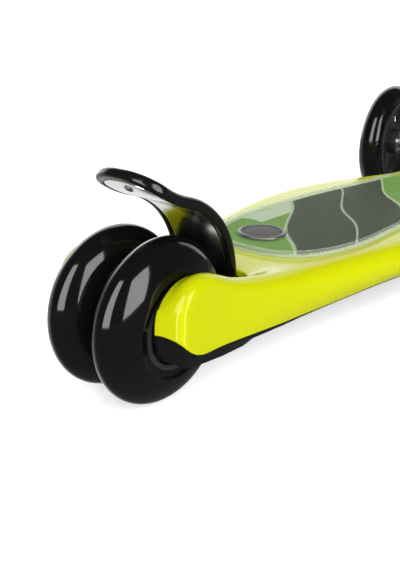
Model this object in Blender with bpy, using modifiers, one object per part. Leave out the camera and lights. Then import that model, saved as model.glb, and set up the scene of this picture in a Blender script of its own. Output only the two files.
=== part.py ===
"""Kick scooter that steers by leaning: two wheels in front, a twin wheel behind.

Units are metres. +X is forward, +Y is left and +Z is up. The ground is z = 0, and x = 0 is
half way along the scooter. Stations along the deck are counted forward from the rear axle,
and heights along it from the rear axle's centre; rear() turns both into world positions.
"""

import math

import bmesh
import bpy
import numpy as np
from mathutils import Matrix, Vector

# Gaps and rounding
TOUCH_GAP = 0.0003
STEP = 0.0004
BITE = 0.0005
MERGE = 0.00001

# Rear wheels: a pair on one axle
REAR_WHEEL_RADIUS = 0.040
REAR_WHEEL_WIDTH = 0.024
REAR_TWIN_GAP = 0.0048
REAR_CORE_RADIUS = 0.0205
REAR_TREAD_DEPTH = 0.019
REAR_WEB_HALF = 0.0040
REAR_RIM = 0.0025
TYRE_ROUNDNESS = 1.95
TYRE_SIDE_ANGLE = 12.0
TYRE_SEGMENTS = 28

# Front wheels
FRONT_WHEEL_RADIUS = 0.060
FRONT_WHEEL_WIDTH = 0.024
FRONT_WHEEL_SPACING = 0.200
FRONT_CORE_RADIUS = 0.046
FRONT_TREAD_DEPTH = 0.011
FRONT_WEB_HALF = 0.0030
FRONT_RIM = 0.0035
FRONT_SPOKE_HOLES = 5
SPOKE_MARGIN = 0.0040
CAP_WALL = 0.0018
CAP_HEIGHT = 0.0085
CAP_SIDE_SHARE = 0.35
CAP_FLAT_SHARE = 0.55
WHEELBASE = 0.510

# Bearings and axles, the common sizes for an 8 mm bolt
AXLE_RADIUS = 0.004
BEARING_BORE_RADIUS = 0.0043
BEARING_RADIUS = 0.0107
BEARING_SEAT_RADIUS = 0.011
BEARING_WIDTH = 0.007
BEARING_INSET = 0.0005
BEARING_STOP = 0.0020
HUB_RADIUS = 0.0140
SPACER_RADIUS = 0.0065
HEX_RADIUS = 0.0068
HEX_HEIGHT = 0.0045
FRONT_HEX_RADIUS = 0.0060
FRONT_HEX_HEIGHT = 0.0037
FRONT_BOLT_BITE = 0.0260

# Deck shell, stations counted from the rear axle
ARM_HALF_WIDTH = 0.0400
DECK_HALF_WIDTH = 0.0745
NOSE_HALF_WIDTH = 0.034
TAIL_X = -0.0182
TAIL_CORNER_X = -0.0104
TAIL_CORNER_RADIUS = 0.0050
TAIL_LEAN = 17.0
TAIL_CREST_X = 0.0015
FLARE_START_X = 0.010
DECK_LEVEL_X = 0.050
DECK_WIDEST_X = 0.240
NOSE_BEHIND_AXLE = 0.064
NOSE_X = WHEELBASE - NOSE_BEHIND_AXLE
NOSE_RISE_LENGTH = 0.071
NOSE_RISE_X = NOSE_X - NOSE_RISE_LENGTH
CREST_HEIGHT = 0.0246
TAIL_HEIGHT = 0.0070
ARM_CROWN = 0.0027
CROWN_RISE_LENGTH = 0.0120
CROWN_FADE_X = 0.0050
CROWN_INNER_Y = 0.0262
CROWN_INNER_SHARE = 0.80
DECK_TOP = 0.0105
NOSE_TOP = 0.0165
SPLIT_TAIL = 0.0029
SPLIT_TURN_X = -0.0045
SPLIT_ARM = -0.0088
SPLIT_MIDDLE_X = 0.0600
SPLIT_MIDDLE = -0.0125
SPLIT_DECK = -0.0110
SHELL_WALL = 0.0028
SHOULDER = 0.0055
SIDE_TUCK = 0.0055
TUCK_START_X = 0.0175
TUCK_END_X = 0.0850
SIDE_BREAK_SHARE = 0.35
SHOULDER_LIMIT_SHARE = 0.45

# Sections the deck is drawn on, closer together towards the tail
TAIL_GAPS = 5
DECK_GAPS = 17
DECK_CROWDING = 1.35

# Lower frame under the shell
FRAME_BOTTOM_TAIL = -0.0040
FRAME_BOTTOM_ARM = -0.0136
FRAME_BOTTOM_LOWEST = -0.0172
FRAME_BOTTOM_DECK = -0.0150
FRAME_LOWEST_X = 0.0300
FRAME_INSET_DECK = 0.0085
SOLE_INSET = 0.0008
SOLE_BITE = 0.0012
POCKET_FIRST_X = 0.098
POCKET_LAST_MARGIN = 0.132
POCKET_RIB = 0.008
POCKETS = 4
POCKET_RUN = NOSE_X - POCKET_LAST_MARGIN - POCKET_FIRST_X
POCKET_LENGTH = POCKET_RUN / POCKETS - POCKET_RIB
POCKET_INNER_Y = 0.005
POCKET_OUTER_Y = 0.036
POCKET_TOP = 0.000

# Slot between the arms for the wheels and the brake
SLOT_HALF_WIDTH = 0.0272
SLOT_FRONT_X = 0.0565
SHELL_SLOT_CORNER = 0.0100
FRAME_SLOT_CORNER = 0.0015

# Brake fender
BRAKE_HINGE_X = 0.0490
BRAKE_HINGE_Z = 0.0010
BRAKE_HALF_WIDTH = 0.0200
BRAKE_WEB = 0.0036
BRAKE_LIP_WIDTH = 0.0042
BRAKE_LIP_DEPTH = 0.0018
BRAKE_LIP_START = 0.0100
BRAKE_LIP_RAMP = 0.0030
BRAKE_ROOT_AHEAD = 0.0037
BRAKE_ROOT_UP = 0.0024
BRAKE_BASE_HEADING = 94.0
BRAKE_RISE = 0.0074
BRAKE_BASE_RADIUS = 0.0508
BRAKE_BASE_SWEEP = 71.0
BRAKE_KICK_RADIUS = 0.0576
BRAKE_KICK_SWEEP = 29.0
BRAKE_TIP_REACH = 0.0092
BRAKE_TIP_FLAT = 0.0040
BRAKE_TIP_PAD = 0.0062
BRAKE_BARREL_RADIUS = 0.0046
BRAKE_PIN_RADIUS = 0.0024
BRAKE_PIN_REACH = 0.0330
PLATE_THICKNESS = 0.0012
PLATE_START = 0.0100
PLATE_SIDE_GAP = 0.0006
RIVET_HEAD_RADIUS = 0.0024
RIVET_HEAD_HEIGHT = 0.0007
RIVET_SHANK_RADIUS = 0.0012
RIVET_FROM_START = 0.0060
RIVET_FROM_END = 0.0032
SPRING_WIRE_RADIUS = 0.00055
SPRING_COIL_RADIUS = 0.0039
SPRING_LEG = 0.0065
SPRING_TURNS = 3.5
SPRING_POINTS_PER_TURN = 8

# Standing surface
PAD_REAR_X = 0.0850
PAD_WIDEST_X = 0.1650
PAD_NARROW_FROM_X = 0.2050
PAD_BEHIND_NOSE = 0.0780
PAD_FRONT_X = NOSE_X - PAD_BEHIND_NOSE
PAD_HALF_WIDTH = 0.0465
PAD_FRONT_HALF_WIDTH = 0.0330
PAD_FRONT_CORNER = 0.0180
PAD_END_POWER = 0.90
PAD_SIDE_POWER = 0.72
PAD_THICKNESS = 0.0026
PAD_RIM = 0.0040
PRINT_THICKNESS = 0.0004
BADGE_X = 0.1180
BADGE_Y = 0.0100
BADGE_LENGTH = 0.0310
BADGE_WIDTH = 0.0290
BADGE_THICKNESS = 0.0012

# Deck screws, from below into bosses of the shell: station, then half spacing
SCREW_REAR_X = 0.075
SCREW_REAR_Y = 0.026
SCREW_BEHIND_NOSE = 0.116
SCREW_FRONT_Y = 0.034
SCREW_PLACES = ((SCREW_REAR_X, SCREW_REAR_Y), (NOSE_X - SCREW_BEHIND_NOSE, SCREW_FRONT_Y))
SCREW_RADIUS = 0.0019
SCREW_HEAD_RADIUS = 0.0038
SCREW_HEAD_HEIGHT = 0.0020
SCREW_BOSS_RADIUS = 0.0046
SCREW_BOSS_LENGTH = 0.0080
SCREW_CLEARANCE = 0.0005

# Front housing, which carries the leaning truck and the steering column
TONGUE_LENGTH = 0.060
TONGUE_X = NOSE_X - TONGUE_LENGTH
TONGUE_CLEARANCE = 0.0006
TONGUE_SCREW_FROM_END = 0.028
TONGUE_SCREW_X = NOSE_X - TONGUE_SCREW_FROM_END
TONGUE_SCREW_Y = 0.0140
NECK_BACK = 0.0020
NECK_FRONT = 0.0040
FLANGE_LENGTH = 0.0150
FLANGE_EDGE_LENGTH = 0.0040
FLANGE_EDGE_DEPTH = 0.0030
LEAN_BEHIND_AXLE = 0.0100
LEAN_AXIS_X = WHEELBASE - LEAN_BEHIND_AXLE
LEAN_AXIS_Z = 0.0160
LEAN_AXIS_TILT = 50.0
LUG_INNER = 0.0270
LUG_OUTER = 0.0380
LUG_RADIUS = 0.0160
WEB_INNER = 0.0210
WEB_OUTER = 0.0340
WEB_TOP_ALONG = -0.0040
HOUSING_BACK = 0.0030
HOUSING_RISE = 0.0140
HOUSING_HALF_WIDTH = 0.0180
KING_NUT_ROOM = 0.0012

# Truck and its pivot
TRUCK_BOSS_RADIUS = 0.0145
TRUCK_BOSS_HALF = 0.0200
TRUCK_ARM_RADIUS = 0.0095
TRUCK_ARM_END_Y = 0.0840
PIVOT_BUSH_RADIUS = 0.0065
RUBBER_RADIUS = 0.0115

# Steering column
COLUMN_FROM_NOSE = 0.0220
COLUMN_X = NOSE_X + COLUMN_FROM_NOSE
COLUMN_Z = 0.0200
COLUMN_LEAN = 8.0
SOCKET_RADIUS = 0.0200
SOCKET_START = 0.0120
SOCKET_TOP = 0.0750
LOWER_TUBE_RADIUS = 0.0150
LOWER_TUBE_WALL = 0.0016
LOWER_TUBE_START = 0.0140
LOWER_TUBE_END = 0.4300
INNER_TUBE_RADIUS = 0.0120
INNER_TUBE_WALL = 0.0014
INNER_TUBE_START = 0.1900
INNER_TUBE_END = 0.6250
GUIDE_LENGTH = 0.0300
GUIDE_FLANGE = 0.0025

# Height clamp and its lever
CLAMP_LENGTH = 0.0340
CLAMP_WALL = 0.0050
CLAMP_BELOW_TOP = 0.0020
CLAMP_SLIT = 0.0030
CLAMP_EAR_REACH = 0.0300
CLAMP_EAR_HALF = 0.0100
CLAMP_BOLT_RADIUS = 0.0025
CLAMP_BOLT_OFFSET = 0.0245
CLAMP_NUT_RADIUS = 0.0050
CLAMP_NUT_HEIGHT = 0.0040
BOLT_EYE_WALL = 0.0015
BOLT_EYE_HALF = 0.0030
CAM_GAP = 0.0006
CAM_SLOT_HALF = 0.0100
CAM_RADIUS = 0.0065
CAM_HALF_HEIGHT = 0.0095
LEVER_LENGTH = 0.0520
LEVER_THICKNESS = 0.0050
LEVER_HEEL = 0.0030
CAM_PIN_RADIUS = 0.0025

# Handlebar
BAR_ABOVE_TUBE = 0.0150
BAR_HEIGHT = INNER_TUBE_END + BAR_ABOVE_TUBE
BAR_LENGTH = 0.3000
BAR_RADIUS = 0.0110
BAR_WALL = 0.0014
TEE_RADIUS = 0.0165
TEE_STEM_RADIUS = 0.0155
TEE_HALF_LENGTH = 0.0300
TEE_SOCKET_LENGTH = 0.0340
TEE_SCREW_RADIUS = 0.0020
TEE_SCREW_DROP = 0.0120
TEE_SCREW_DEPTH = 0.0040
TEE_SCREW_PROUD = 0.0010
GRIP_LENGTH = 0.1050
GRIP_RADIUS = 0.0155
GRIP_FLANGE_RADIUS = 0.0200
GRIP_FLANGE_WIDTH = 0.0050
GRIP_END_WALL = 0.0040
GRIP_EDGE = 0.0015

# Release button in the socket
BUTTON_STATION = 0.0540
BUTTON_RADIUS = 0.0042
BUTTON_HOLE_RADIUS = 0.0046
BUTTON_HOLE_START = 0.0040
BUTTON_PROUD = 0.0022
BUTTON_FLANGE_RADIUS = 0.0056
BUTTON_FLANGE_HEIGHT = 0.0010
CLIP_WIDTH = 0.0080
CLIP_THICKNESS = 0.0008
CLIP_BEND_STATION = 0.1000

# Worked out from the sizes above
REAR_AXLE_X = -(WHEELBASE + FRONT_WHEEL_RADIUS - REAR_WHEEL_RADIUS) / 2
REAR_WHEEL_Y = (REAR_WHEEL_WIDTH + REAR_TWIN_GAP) / 2
FRONT_AXLE_X = REAR_AXLE_X + WHEELBASE
FRONT_AXLE_Z = FRONT_WHEEL_RADIUS
FRONT_WHEEL_Y = FRONT_WHEEL_SPACING / 2
SIDES = (("right", -1), ("left", 1))

# Colours as red, green, blue, then roughness and metallic
FINISHES = {
    "lime_plastic": ((0.55, 0.76, 0.01), 0.25, 0.0),
    "black_plastic": ((0.012, 0.012, 0.012), 0.22, 0.0),
    "black_urethane": ((0.006, 0.006, 0.006), 0.12, 0.0),
    "black_nylon": ((0.015, 0.015, 0.016), 0.40, 0.0),
    "clear_mat": ((0.32, 0.36, 0.26), 0.35, 0.0),
    "printed_film": ((0.10, 0.16, 0.06), 0.45, 0.0),
    "badge_dome": ((0.25, 0.27, 0.22), 0.15, 0.3),
    "polished_steel": ((0.72, 0.73, 0.74), 0.12, 1.0),
    "zinc_steel": ((0.50, 0.50, 0.51), 0.35, 1.0),
    "silver_aluminium": ((0.70, 0.71, 0.73), 0.28, 1.0),
    "black_rubber": ((0.018, 0.018, 0.018), 0.70, 0.0),
}


def clear_scene():
    for old in list(bpy.data.objects):
        bpy.data.objects.remove(old, do_unlink=True)


def new_collection(name):
    collection = bpy.data.collections.new(name)
    bpy.context.scene.collection.children.link(collection)
    return collection


clear_scene()
SCOOTER = new_collection("kick_scooter")
CUTTERS = new_collection("cutters")


def finish(name):
    found = bpy.data.materials.get(name)
    if found:
        return found
    colour, roughness, metallic = FINISHES[name]
    made = bpy.data.materials.new(name)
    made.use_nodes = True
    shader = made.node_tree.nodes["Principled BSDF"]
    shader.inputs["Base Color"].default_value = (*colour, 1.0)
    shader.inputs["Roughness"].default_value = roughness
    shader.inputs["Metallic"].default_value = metallic
    return made


# Making and placing objects

def rear(x, z):
    """World x and z of a station and a height counted from the rear axle."""
    return REAR_AXLE_X + x, REAR_WHEEL_RADIUS + z


def new_object(name, mesh, finish_name=None):
    """A part where a finish is given, and a cutter or a tool body where none is."""
    made = bpy.data.objects.new(name, mesh)
    if finish_name:
        mesh.materials.append(finish(finish_name))
        SCOOTER.objects.link(made)
    else:
        CUTTERS.objects.link(made)
        made.hide_render = True
        made.display_type = "WIRE"
    return made


def from_bmesh(name, bm, finish_name=None, smooth=True):
    bmesh.ops.recalc_face_normals(bm, faces=bm.faces)
    mesh = bpy.data.meshes.new(name)
    bm.to_mesh(mesh)
    bm.free()
    if smooth:
        mesh.shade_smooth()
        mesh.set_sharp_from_angle(angle=math.radians(35))
    return new_object(name, mesh, finish_name)


def set_place(obj, centre, direction=(0, 0, 1)):
    """Puts the object's own Z along a direction, with its origin at the centre."""
    turn = Vector(direction).to_track_quat("Z", "Y").to_matrix().to_4x4()
    obj.matrix_world = Matrix.Translation(centre) @ turn
    return obj


def box(name, low, high, finish_name=None):
    """A box between two corners, its origin at its middle."""
    size = [b - a for a, b in zip(low, high)]
    bm = bmesh.new()
    bmesh.ops.create_cube(bm, size=1.0)
    bmesh.ops.scale(bm, vec=size, verts=bm.verts)
    made = from_bmesh(name, bm, finish_name, smooth=False)
    made.location = [(a + b) / 2 for a, b in zip(low, high)]
    return made


def cylinder(name, radius, start, end, finish_name=None, segments=24):
    """A round bar from one point to another."""
    start, end = Vector(start), Vector(end)
    bm = bmesh.new()
    bmesh.ops.create_cone(bm, cap_ends=True, segments=segments, radius1=radius,
                          radius2=radius, depth=(end - start).length)
    made = from_bmesh(name, bm, finish_name)
    return set_place(made, (start + end) / 2, end - start)


def turned(name, profile, finish_name=None, segments=24):
    """Turns (radius, height) points about Z; they run down the outer side.

    The profile closes on itself where it keeps off the axis, and is left open
    where both its ends lie on it.
    """
    on_axis = profile[0][0] == 0 and profile[-1][0] == 0
    bm = bmesh.new()
    ring = [bm.verts.new((radius, 0, height)) for radius, height in profile]
    pairs = list(zip(ring, ring[1:]))
    if not on_axis:
        pairs.append((ring[-1], ring[0]))
    for a, b in pairs:
        bm.edges.new((a, b))
    mesh = bpy.data.meshes.new(name)
    bm.to_mesh(mesh)
    bm.free()
    made = new_object(name, mesh, finish_name)
    screw = made.modifiers.new("turn", "SCREW")
    screw.steps = segments
    screw.render_steps = segments
    screw.use_merge_vertices = True
    screw.merge_threshold = MERGE
    screw.use_smooth_shade = True
    return made


def ring(name, outer, inner, start, end, finish_name=None, segments=24):
    """A plain tube or washer between two points."""
    start, end = Vector(start), Vector(end)
    half = (end - start).length / 2
    profile = [(outer, half), (outer, -half), (inner, -half), (inner, half)]
    made = turned(name, profile, finish_name, segments)
    return set_place(made, (start + end) / 2, end - start)


def slab(name, outline, start, end, finish_name=None, upright=False):
    """A flat outline with a thickness: across Y where upright, else along Z."""
    curve = bpy.data.curves.new(name, "CURVE")
    curve.dimensions = "2D"
    curve.fill_mode = "BOTH"
    curve.extrude = (end - start) / 2
    spline = curve.splines.new("POLY")
    spline.points.add(len(outline) - 1)
    for point, (u, v) in zip(spline.points, outline):
        point.co = (u, v, 0, 1)
    spline.use_cyclic_u = True
    middle = (start + end) / 2
    guide = bpy.data.objects.new(name + "_outline", curve)
    CUTTERS.objects.link(guide)
    if upright:
        guide.matrix_world = (Matrix.Translation((0, middle, 0))
                              @ Matrix.Rotation(math.radians(90), 4, "X"))
    else:
        guide.matrix_world = Matrix.Translation((0, 0, middle))
    return meshed(guide, name, finish_name)


def meshed(guide, name, finish_name=None):
    """Makes a mesh of a curve, with its caps welded, and removes the curve."""
    bpy.context.view_layer.update()
    seen = guide.evaluated_get(bpy.context.evaluated_depsgraph_get())
    mesh = bpy.data.meshes.new_from_object(seen)
    bm = bmesh.new()
    bm.from_mesh(mesh)
    bmesh.ops.remove_doubles(bm, verts=bm.verts, dist=MERGE)
    bmesh.ops.recalc_face_normals(bm, faces=bm.faces)
    bm.to_mesh(mesh)
    bm.free()
    mesh.materials.clear()
    made = new_object(name, mesh, finish_name)
    made.matrix_world = guide.matrix_world.copy()
    bpy.data.objects.remove(guide, do_unlink=True)
    return made


def wire(name, points, radius, finish_name=None, resolution=1):
    """A bent wire through the points, with closed ends."""
    curve = bpy.data.curves.new(name, "CURVE")
    curve.dimensions = "3D"
    curve.bevel_depth = radius
    curve.bevel_resolution = resolution
    curve.use_fill_caps = True
    spline = curve.splines.new("POLY")
    spline.points.add(len(points) - 1)
    for point, place in zip(spline.points, points):
        point.co = (*place, 1)
    guide = bpy.data.objects.new(name + "_route", curve)
    CUTTERS.objects.link(guide)
    return meshed(guide, name, finish_name)


def loft(name, rings, finish_name=None):
    """A skin through rings of equally many points, closed at both ends.

    Its panels are split the same way every time, mirrored half way round the ring,
    so that two skins on the same stations keep their distance.
    """
    bm = bmesh.new()
    rows = [[bm.verts.new(point) for point in points] for points in rings]
    count = len(rows[0])
    for a, b in zip(rows, rows[1:]):
        for i in range(count):
            j = (i + 1) % count
            if i < count // 2:
                bm.faces.new((a[i], a[j], b[j]))
                bm.faces.new((a[i], b[j], b[i]))
            else:
                bm.faces.new((a[i], a[j], b[i]))
                bm.faces.new((a[j], b[j], b[i]))
    bm.faces.new(rows[0])
    bm.faces.new(rows[-1])
    return from_bmesh(name, bm, finish_name)


def boolean(target, tool, operation):
    change = target.modifiers.new(operation.lower(), "BOOLEAN")
    change.operation = operation
    change.object = tool
    change.solver = "EXACT"


def cut(target, *tools):
    for tool in tools:
        boolean(target, tool, "DIFFERENCE")


def join(target, *tools):
    for tool in tools:
        boolean(target, tool, "UNION")


def ease(t):
    t = min(1.0, max(0.0, t))
    return t * t * (3 - 2 * t)


def blend(x, x0, x1, a, b):
    """Eases from a at x0 to b at x1."""
    return a + (b - a) * ease((x - x0) / (x1 - x0))


def arc(cx, cy, radius, from_deg, to_deg, steps):
    """Points on a round stretch, both ends included."""
    found = []
    for i in range(steps + 1):
        angle = math.radians(from_deg + (to_deg - from_deg) * i / steps)
        found.append((cx + radius * math.cos(angle), cy + radius * math.sin(angle)))
    return found


# Deck shape along its length

def half_width(x):
    """Half the deck's width at a station: leaning arm end, round corner, arm, deck."""
    reach = TAIL_CORNER_X - x
    lean = math.radians(TAIL_LEAN)
    tangent = TAIL_CORNER_RADIUS * math.cos(lean)
    if reach > tangent:
        corner = TAIL_CORNER_RADIUS * (1 - math.sin(lean))
        return ARM_HALF_WIDTH - corner - (reach - tangent) / math.tan(lean)
    if reach > 0:
        rest = math.sqrt(TAIL_CORNER_RADIUS ** 2 - reach ** 2)
        return ARM_HALF_WIDTH - TAIL_CORNER_RADIUS + rest
    if x <= DECK_WIDEST_X:
        return blend(x, FLARE_START_X, DECK_WIDEST_X, ARM_HALF_WIDTH, DECK_HALF_WIDTH)
    return blend(x, DECK_WIDEST_X, NOSE_X, DECK_HALF_WIDTH, NOSE_HALF_WIDTH)


def deck_top(x):
    """Height of the shell's top: round tail, crest beside the wheels, then level."""
    if x < TAIL_CREST_X:
        share = (TAIL_CREST_X - x) / (TAIL_CREST_X - TAIL_X)
        rise = math.sqrt(max(0.0, 1 - share ** 2))
        return TAIL_HEIGHT + (CREST_HEIGHT - TAIL_HEIGHT) * rise
    if x < DECK_LEVEL_X:
        return blend(x, TAIL_CREST_X, DECK_LEVEL_X, CREST_HEIGHT, DECK_TOP)
    return blend(x, NOSE_RISE_X, NOSE_X, DECK_TOP, NOSE_TOP)


def arm_crown(x):
    """How much higher the top stands at its shoulder than at the slot's edge."""
    rise = ease((x - TAIL_X) / CROWN_RISE_LENGTH)
    return rise * blend(x, CROWN_FADE_X, DECK_LEVEL_X, ARM_CROWN, 0.0)


def split_height(x):
    """Height of the line where the shell ends and the black frame shows."""
    if x < SPLIT_TURN_X:
        return blend(x, TAIL_X + SHELL_WALL, SPLIT_TURN_X, SPLIT_TAIL, SPLIT_ARM)
    if x < SPLIT_MIDDLE_X:
        return blend(x, SPLIT_TURN_X, SPLIT_MIDDLE_X, SPLIT_ARM, SPLIT_MIDDLE)
    return blend(x, SPLIT_MIDDLE_X, DECK_WIDEST_X, SPLIT_MIDDLE, SPLIT_DECK)


def side_tuck(x):
    """How far the side draws in towards its lower edge; the arms stay upright."""
    return blend(x, TUCK_START_X, TUCK_END_X, 0.0, SIDE_TUCK)


def frame_inset(x):
    """How far the frame's side draws in below the shell's lower edge."""
    return blend(x, TUCK_START_X, TUCK_END_X, 0.0, FRAME_INSET_DECK)


def frame_bottom(x):
    """Height of the frame's underside: round below the axle, then nearly level."""
    if x < 0:
        rise = math.sqrt(max(0.0, 1 - (x / TAIL_X) ** 2))
        return FRAME_BOTTOM_TAIL + (FRAME_BOTTOM_ARM - FRAME_BOTTOM_TAIL) * rise
    if x < FRAME_LOWEST_X:
        return blend(x, 0.0, FRAME_LOWEST_X, FRAME_BOTTOM_ARM, FRAME_BOTTOM_LOWEST)
    return blend(x, FRAME_LOWEST_X, TUCK_END_X, FRAME_BOTTOM_LOWEST, FRAME_BOTTOM_DECK)


CAVITY_X = TAIL_X + 2 * SHELL_WALL
DECK_STATIONS = [TAIL_X + (TAIL_CORNER_X - TAIL_X) * i / TAIL_GAPS for i in range(TAIL_GAPS)]
DECK_STATIONS += [TAIL_CORNER_X + (NOSE_X - TAIL_CORNER_X) * (i / DECK_GAPS) ** DECK_CROWDING
                  for i in range(DECK_GAPS + 1)]
DECK_STATIONS = sorted(DECK_STATIONS + [CAVITY_X, TONGUE_X])


def drawn(rule, x):
    """A rule's value on the straight run between the two stations beside x."""
    for a, b in zip(DECK_STATIONS, DECK_STATIONS[1:]):
        if a <= x <= b:
            return rule(a) + (rule(b) - rule(a)) * (x - a) / (b - a)
    return rule(x)


def deck_section(x, wall, low=None, low_inset=0.0, at=None):
    """The deck's outline across Y at a station, drawn in by a wall.

    Where low is given, the sides run on down to that height, below the split line.
    """
    width = drawn(half_width, x) - wall
    top = drawn(deck_top, x) - wall
    crest = top + drawn(arm_crown, x)
    split = drawn(split_height, x)
    height = crest - split
    shoulder = min(SHOULDER, SHOULDER_LIMIT_SHARE * height)
    tuck = drawn(side_tuck, x)
    half = []
    if low is not None:
        half.append((width - tuck - low_inset, low))
    half.append((width - tuck, split))
    half.append((width - SIDE_BREAK_SHARE * tuck, split + SIDE_BREAK_SHARE * height))
    half += arc(width - shoulder, crest - shoulder, shoulder, 0, 90, 3)
    half.append((min(CROWN_INNER_Y, CROWN_INNER_SHARE * (width - shoulder)), top))
    both = half + [(-y, z) for y, z in reversed(half)]
    world_x, world_z = rear(x if at is None else at, 0)
    return [(world_x, y, world_z + z) for y, z in both]


def stations(first, last):
    """The deck's stations from one place to another, close together at the tail."""
    inside = [x for x in DECK_STATIONS if first + MERGE < x < last - MERGE]
    return [first] + inside + [last]


def slot_cutter(name, corner, steps):
    """The space between the arms, round in its two front corners."""
    back = TAIL_X - REAR_WHEEL_RADIUS
    inner = SLOT_HALF_WIDTH - corner
    outline = [(back, -SLOT_HALF_WIDTH)]
    outline += arc(SLOT_FRONT_X - corner, -inner, corner, -90, 0, steps)
    outline += arc(SLOT_FRONT_X - corner, inner, corner, 0, 90, steps)
    outline.append((back, SLOT_HALF_WIDTH))
    placed = [(x + REAR_AXLE_X, y) for x, y in outline]
    return slab(name, placed, 0.0, 2 * REAR_WHEEL_RADIUS)


def screw_spots():
    return [(x, side * y) for x, y in SCREW_PLACES for side in (-1, 1)]


def upright_bar(name, radius, x, y, low, high, segments=16):
    """A vertical round tool body at a deck station, between two heights."""
    world_x, base = rear(x, 0)
    return cylinder(name, radius, (world_x, y, base + low), (world_x, y, base + high),
                    segments=segments)


def make_deck_shell():
    """The lime moulding: the deck's top and sides, and the covers of both arms."""
    rings = [deck_section(x, 0.0) for x in stations(TAIL_X, NOSE_X)]
    shell = loft("deck_shell", rings, "lime_plastic")
    below = FRAME_BOTTOM_LOWEST - SHELL_WALL
    rings = [deck_section(x, SHELL_WALL, low=below) for x in stations(CAVITY_X, NOSE_X)]
    rings.append(deck_section(NOSE_X, SHELL_WALL, low=below, at=NOSE_X + SHELL_WALL))
    cut(shell, loft("shell_cavity", rings), slot_cutter("shell_slot", SHELL_SLOT_CORNER, 4))
    for i, (x, y) in enumerate(screw_spots()):
        under = drawn(deck_top, x) - SHELL_WALL
        boss = upright_bar(f"shell_boss_{i}", SCREW_BOSS_RADIUS, x, y,
                           under - SCREW_BOSS_LENGTH, under + SHELL_WALL / 2, 12)
        hole = upright_bar(f"shell_hole_{i}", SCREW_RADIUS + TOUCH_GAP, x, y,
                           under - 2 * SCREW_BOSS_LENGTH, under - SHELL_WALL / 2, 10)
        join(shell, boss)
        cut(shell, hole)
    return shell


def frame_body(name, first, last):
    """The black body that fills the shell between two stations, down into the sole."""
    wall = SHELL_WALL + TOUCH_GAP
    rings = []
    for x in stations(first, last):
        rings.append(deck_section(x, wall, low=drawn(frame_bottom, x) + SOLE_BITE,
                                  low_inset=drawn(frame_inset, x)))
    return loft(name, rings, "black_plastic")


def sole_body(first, last):
    """The frame's band below the shell, which stands out almost to the shell's sides."""
    rings = []
    for x in stations(first, last):
        edge = drawn(half_width, x) - drawn(side_tuck, x) - SOLE_INSET
        low = edge - drawn(frame_inset, x)
        world_x, high_z = rear(x, drawn(split_height, x) - TOUCH_GAP)
        low_z = rear(x, drawn(frame_bottom, x))[1]
        rings.append([(world_x, low, low_z), (world_x, edge, high_z),
                      (world_x, -edge, high_z), (world_x, -low, low_z)])
    return loft("sole", rings)


def make_lower_frame():
    """The black frame: it holds the axle, the brake pin, the shell and the housing."""
    last = TONGUE_X - TONGUE_CLEARANCE
    frame = frame_body("lower_frame", CAVITY_X + TOUCH_GAP, last)
    join(frame, sole_body(TAIL_X + SOLE_INSET, last - STEP))
    cut(frame, slot_cutter("frame_slot", FRAME_SLOT_CORNER, 1))
    axle_x, axle_z = rear(0, 0)
    face = boss_face()
    for name, side in SIDES:
        bearing = REAR_WHEEL_Y + REAR_WHEEL_WIDTH / 2 - BEARING_INSET
        join(frame, cylinder(f"thrust_ring_{name}", SPACER_RADIUS,
                             (axle_x, side * (bearing + TOUCH_GAP), axle_z),
                             (axle_x, side * (SLOT_HALF_WIDTH + 2 * STEP), axle_z)))
        well = cylinder(f"bolt_well_{name}", HEX_RADIUS + TOUCH_GAP,
                        (axle_x, side * well_floor(), axle_z),
                        (axle_x, side * (face + SHELL_WALL), axle_z))
        cut(frame, well)
    bore = cylinder("axle_bore", AXLE_RADIUS + TOUCH_GAP, (axle_x, -face, axle_z),
                    (axle_x, face, axle_z), segments=20)
    pin_x, pin_z = rear(BRAKE_HINGE_X, BRAKE_HINGE_Z)
    reach = BRAKE_PIN_REACH + TOUCH_GAP
    pin_bore = cylinder("pin_bore", BRAKE_PIN_RADIUS + TOUCH_GAP, (pin_x, -reach, pin_z),
                        (pin_x, reach, pin_z), segments=16)
    cut(frame, bore, pin_bore)
    for i in range(POCKETS):
        start = POCKET_FIRST_X + i * (POCKET_LENGTH + POCKET_RIB)
        low_x, base = rear(start, 0)
        for name, side in SIDES:
            inner, outer = sorted((side * POCKET_INNER_Y, side * POCKET_OUTER_Y))
            cut(frame, box(f"pocket_{name}_{i}",
                           (low_x, inner, base + FRAME_BOTTOM_LOWEST),
                           (low_x + POCKET_LENGTH, outer, base + POCKET_TOP)))
    for i, (x, y) in enumerate(screw_spots()):
        under = drawn(deck_top, x) - SHELL_WALL
        seat = under - SCREW_BOSS_LENGTH - TOUCH_GAP
        bottom = drawn(frame_bottom, x)
        cut(frame,
            upright_bar(f"boss_room_{i}", SCREW_BOSS_RADIUS + TOUCH_GAP, x, y, seat,
                        under + SHELL_WALL, 12),
            upright_bar(f"screw_room_{i}", SCREW_RADIUS + SCREW_CLEARANCE, x, y,
                        bottom - SHELL_WALL, under, 10),
            upright_bar(f"head_room_{i}", SCREW_HEAD_RADIUS + SCREW_CLEARANCE, x, y,
                        bottom - SHELL_WALL, bottom + SCREW_HEAD_HEIGHT + 2 * TOUCH_GAP,
                        14))
    return frame


def boss_face():
    """How far out the axle's seats stand: a step inside the arm's own side."""
    return ARM_HALF_WIDTH - SHELL_WALL - TOUCH_GAP - STEP


def well_floor():
    return boss_face() - HEX_HEIGHT - TOUCH_GAP


def make_deck_screws():
    """Four screws hold the shell to the frame, and two more to the housing's tongue."""
    for i, (x, y) in enumerate(screw_spots()):
        deck_screw(f"deck_screw_{i + 1}", x, y)
    for name, side in SIDES:
        deck_screw(f"housing_screw_{name}", TONGUE_SCREW_X, side * TONGUE_SCREW_Y)


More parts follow.
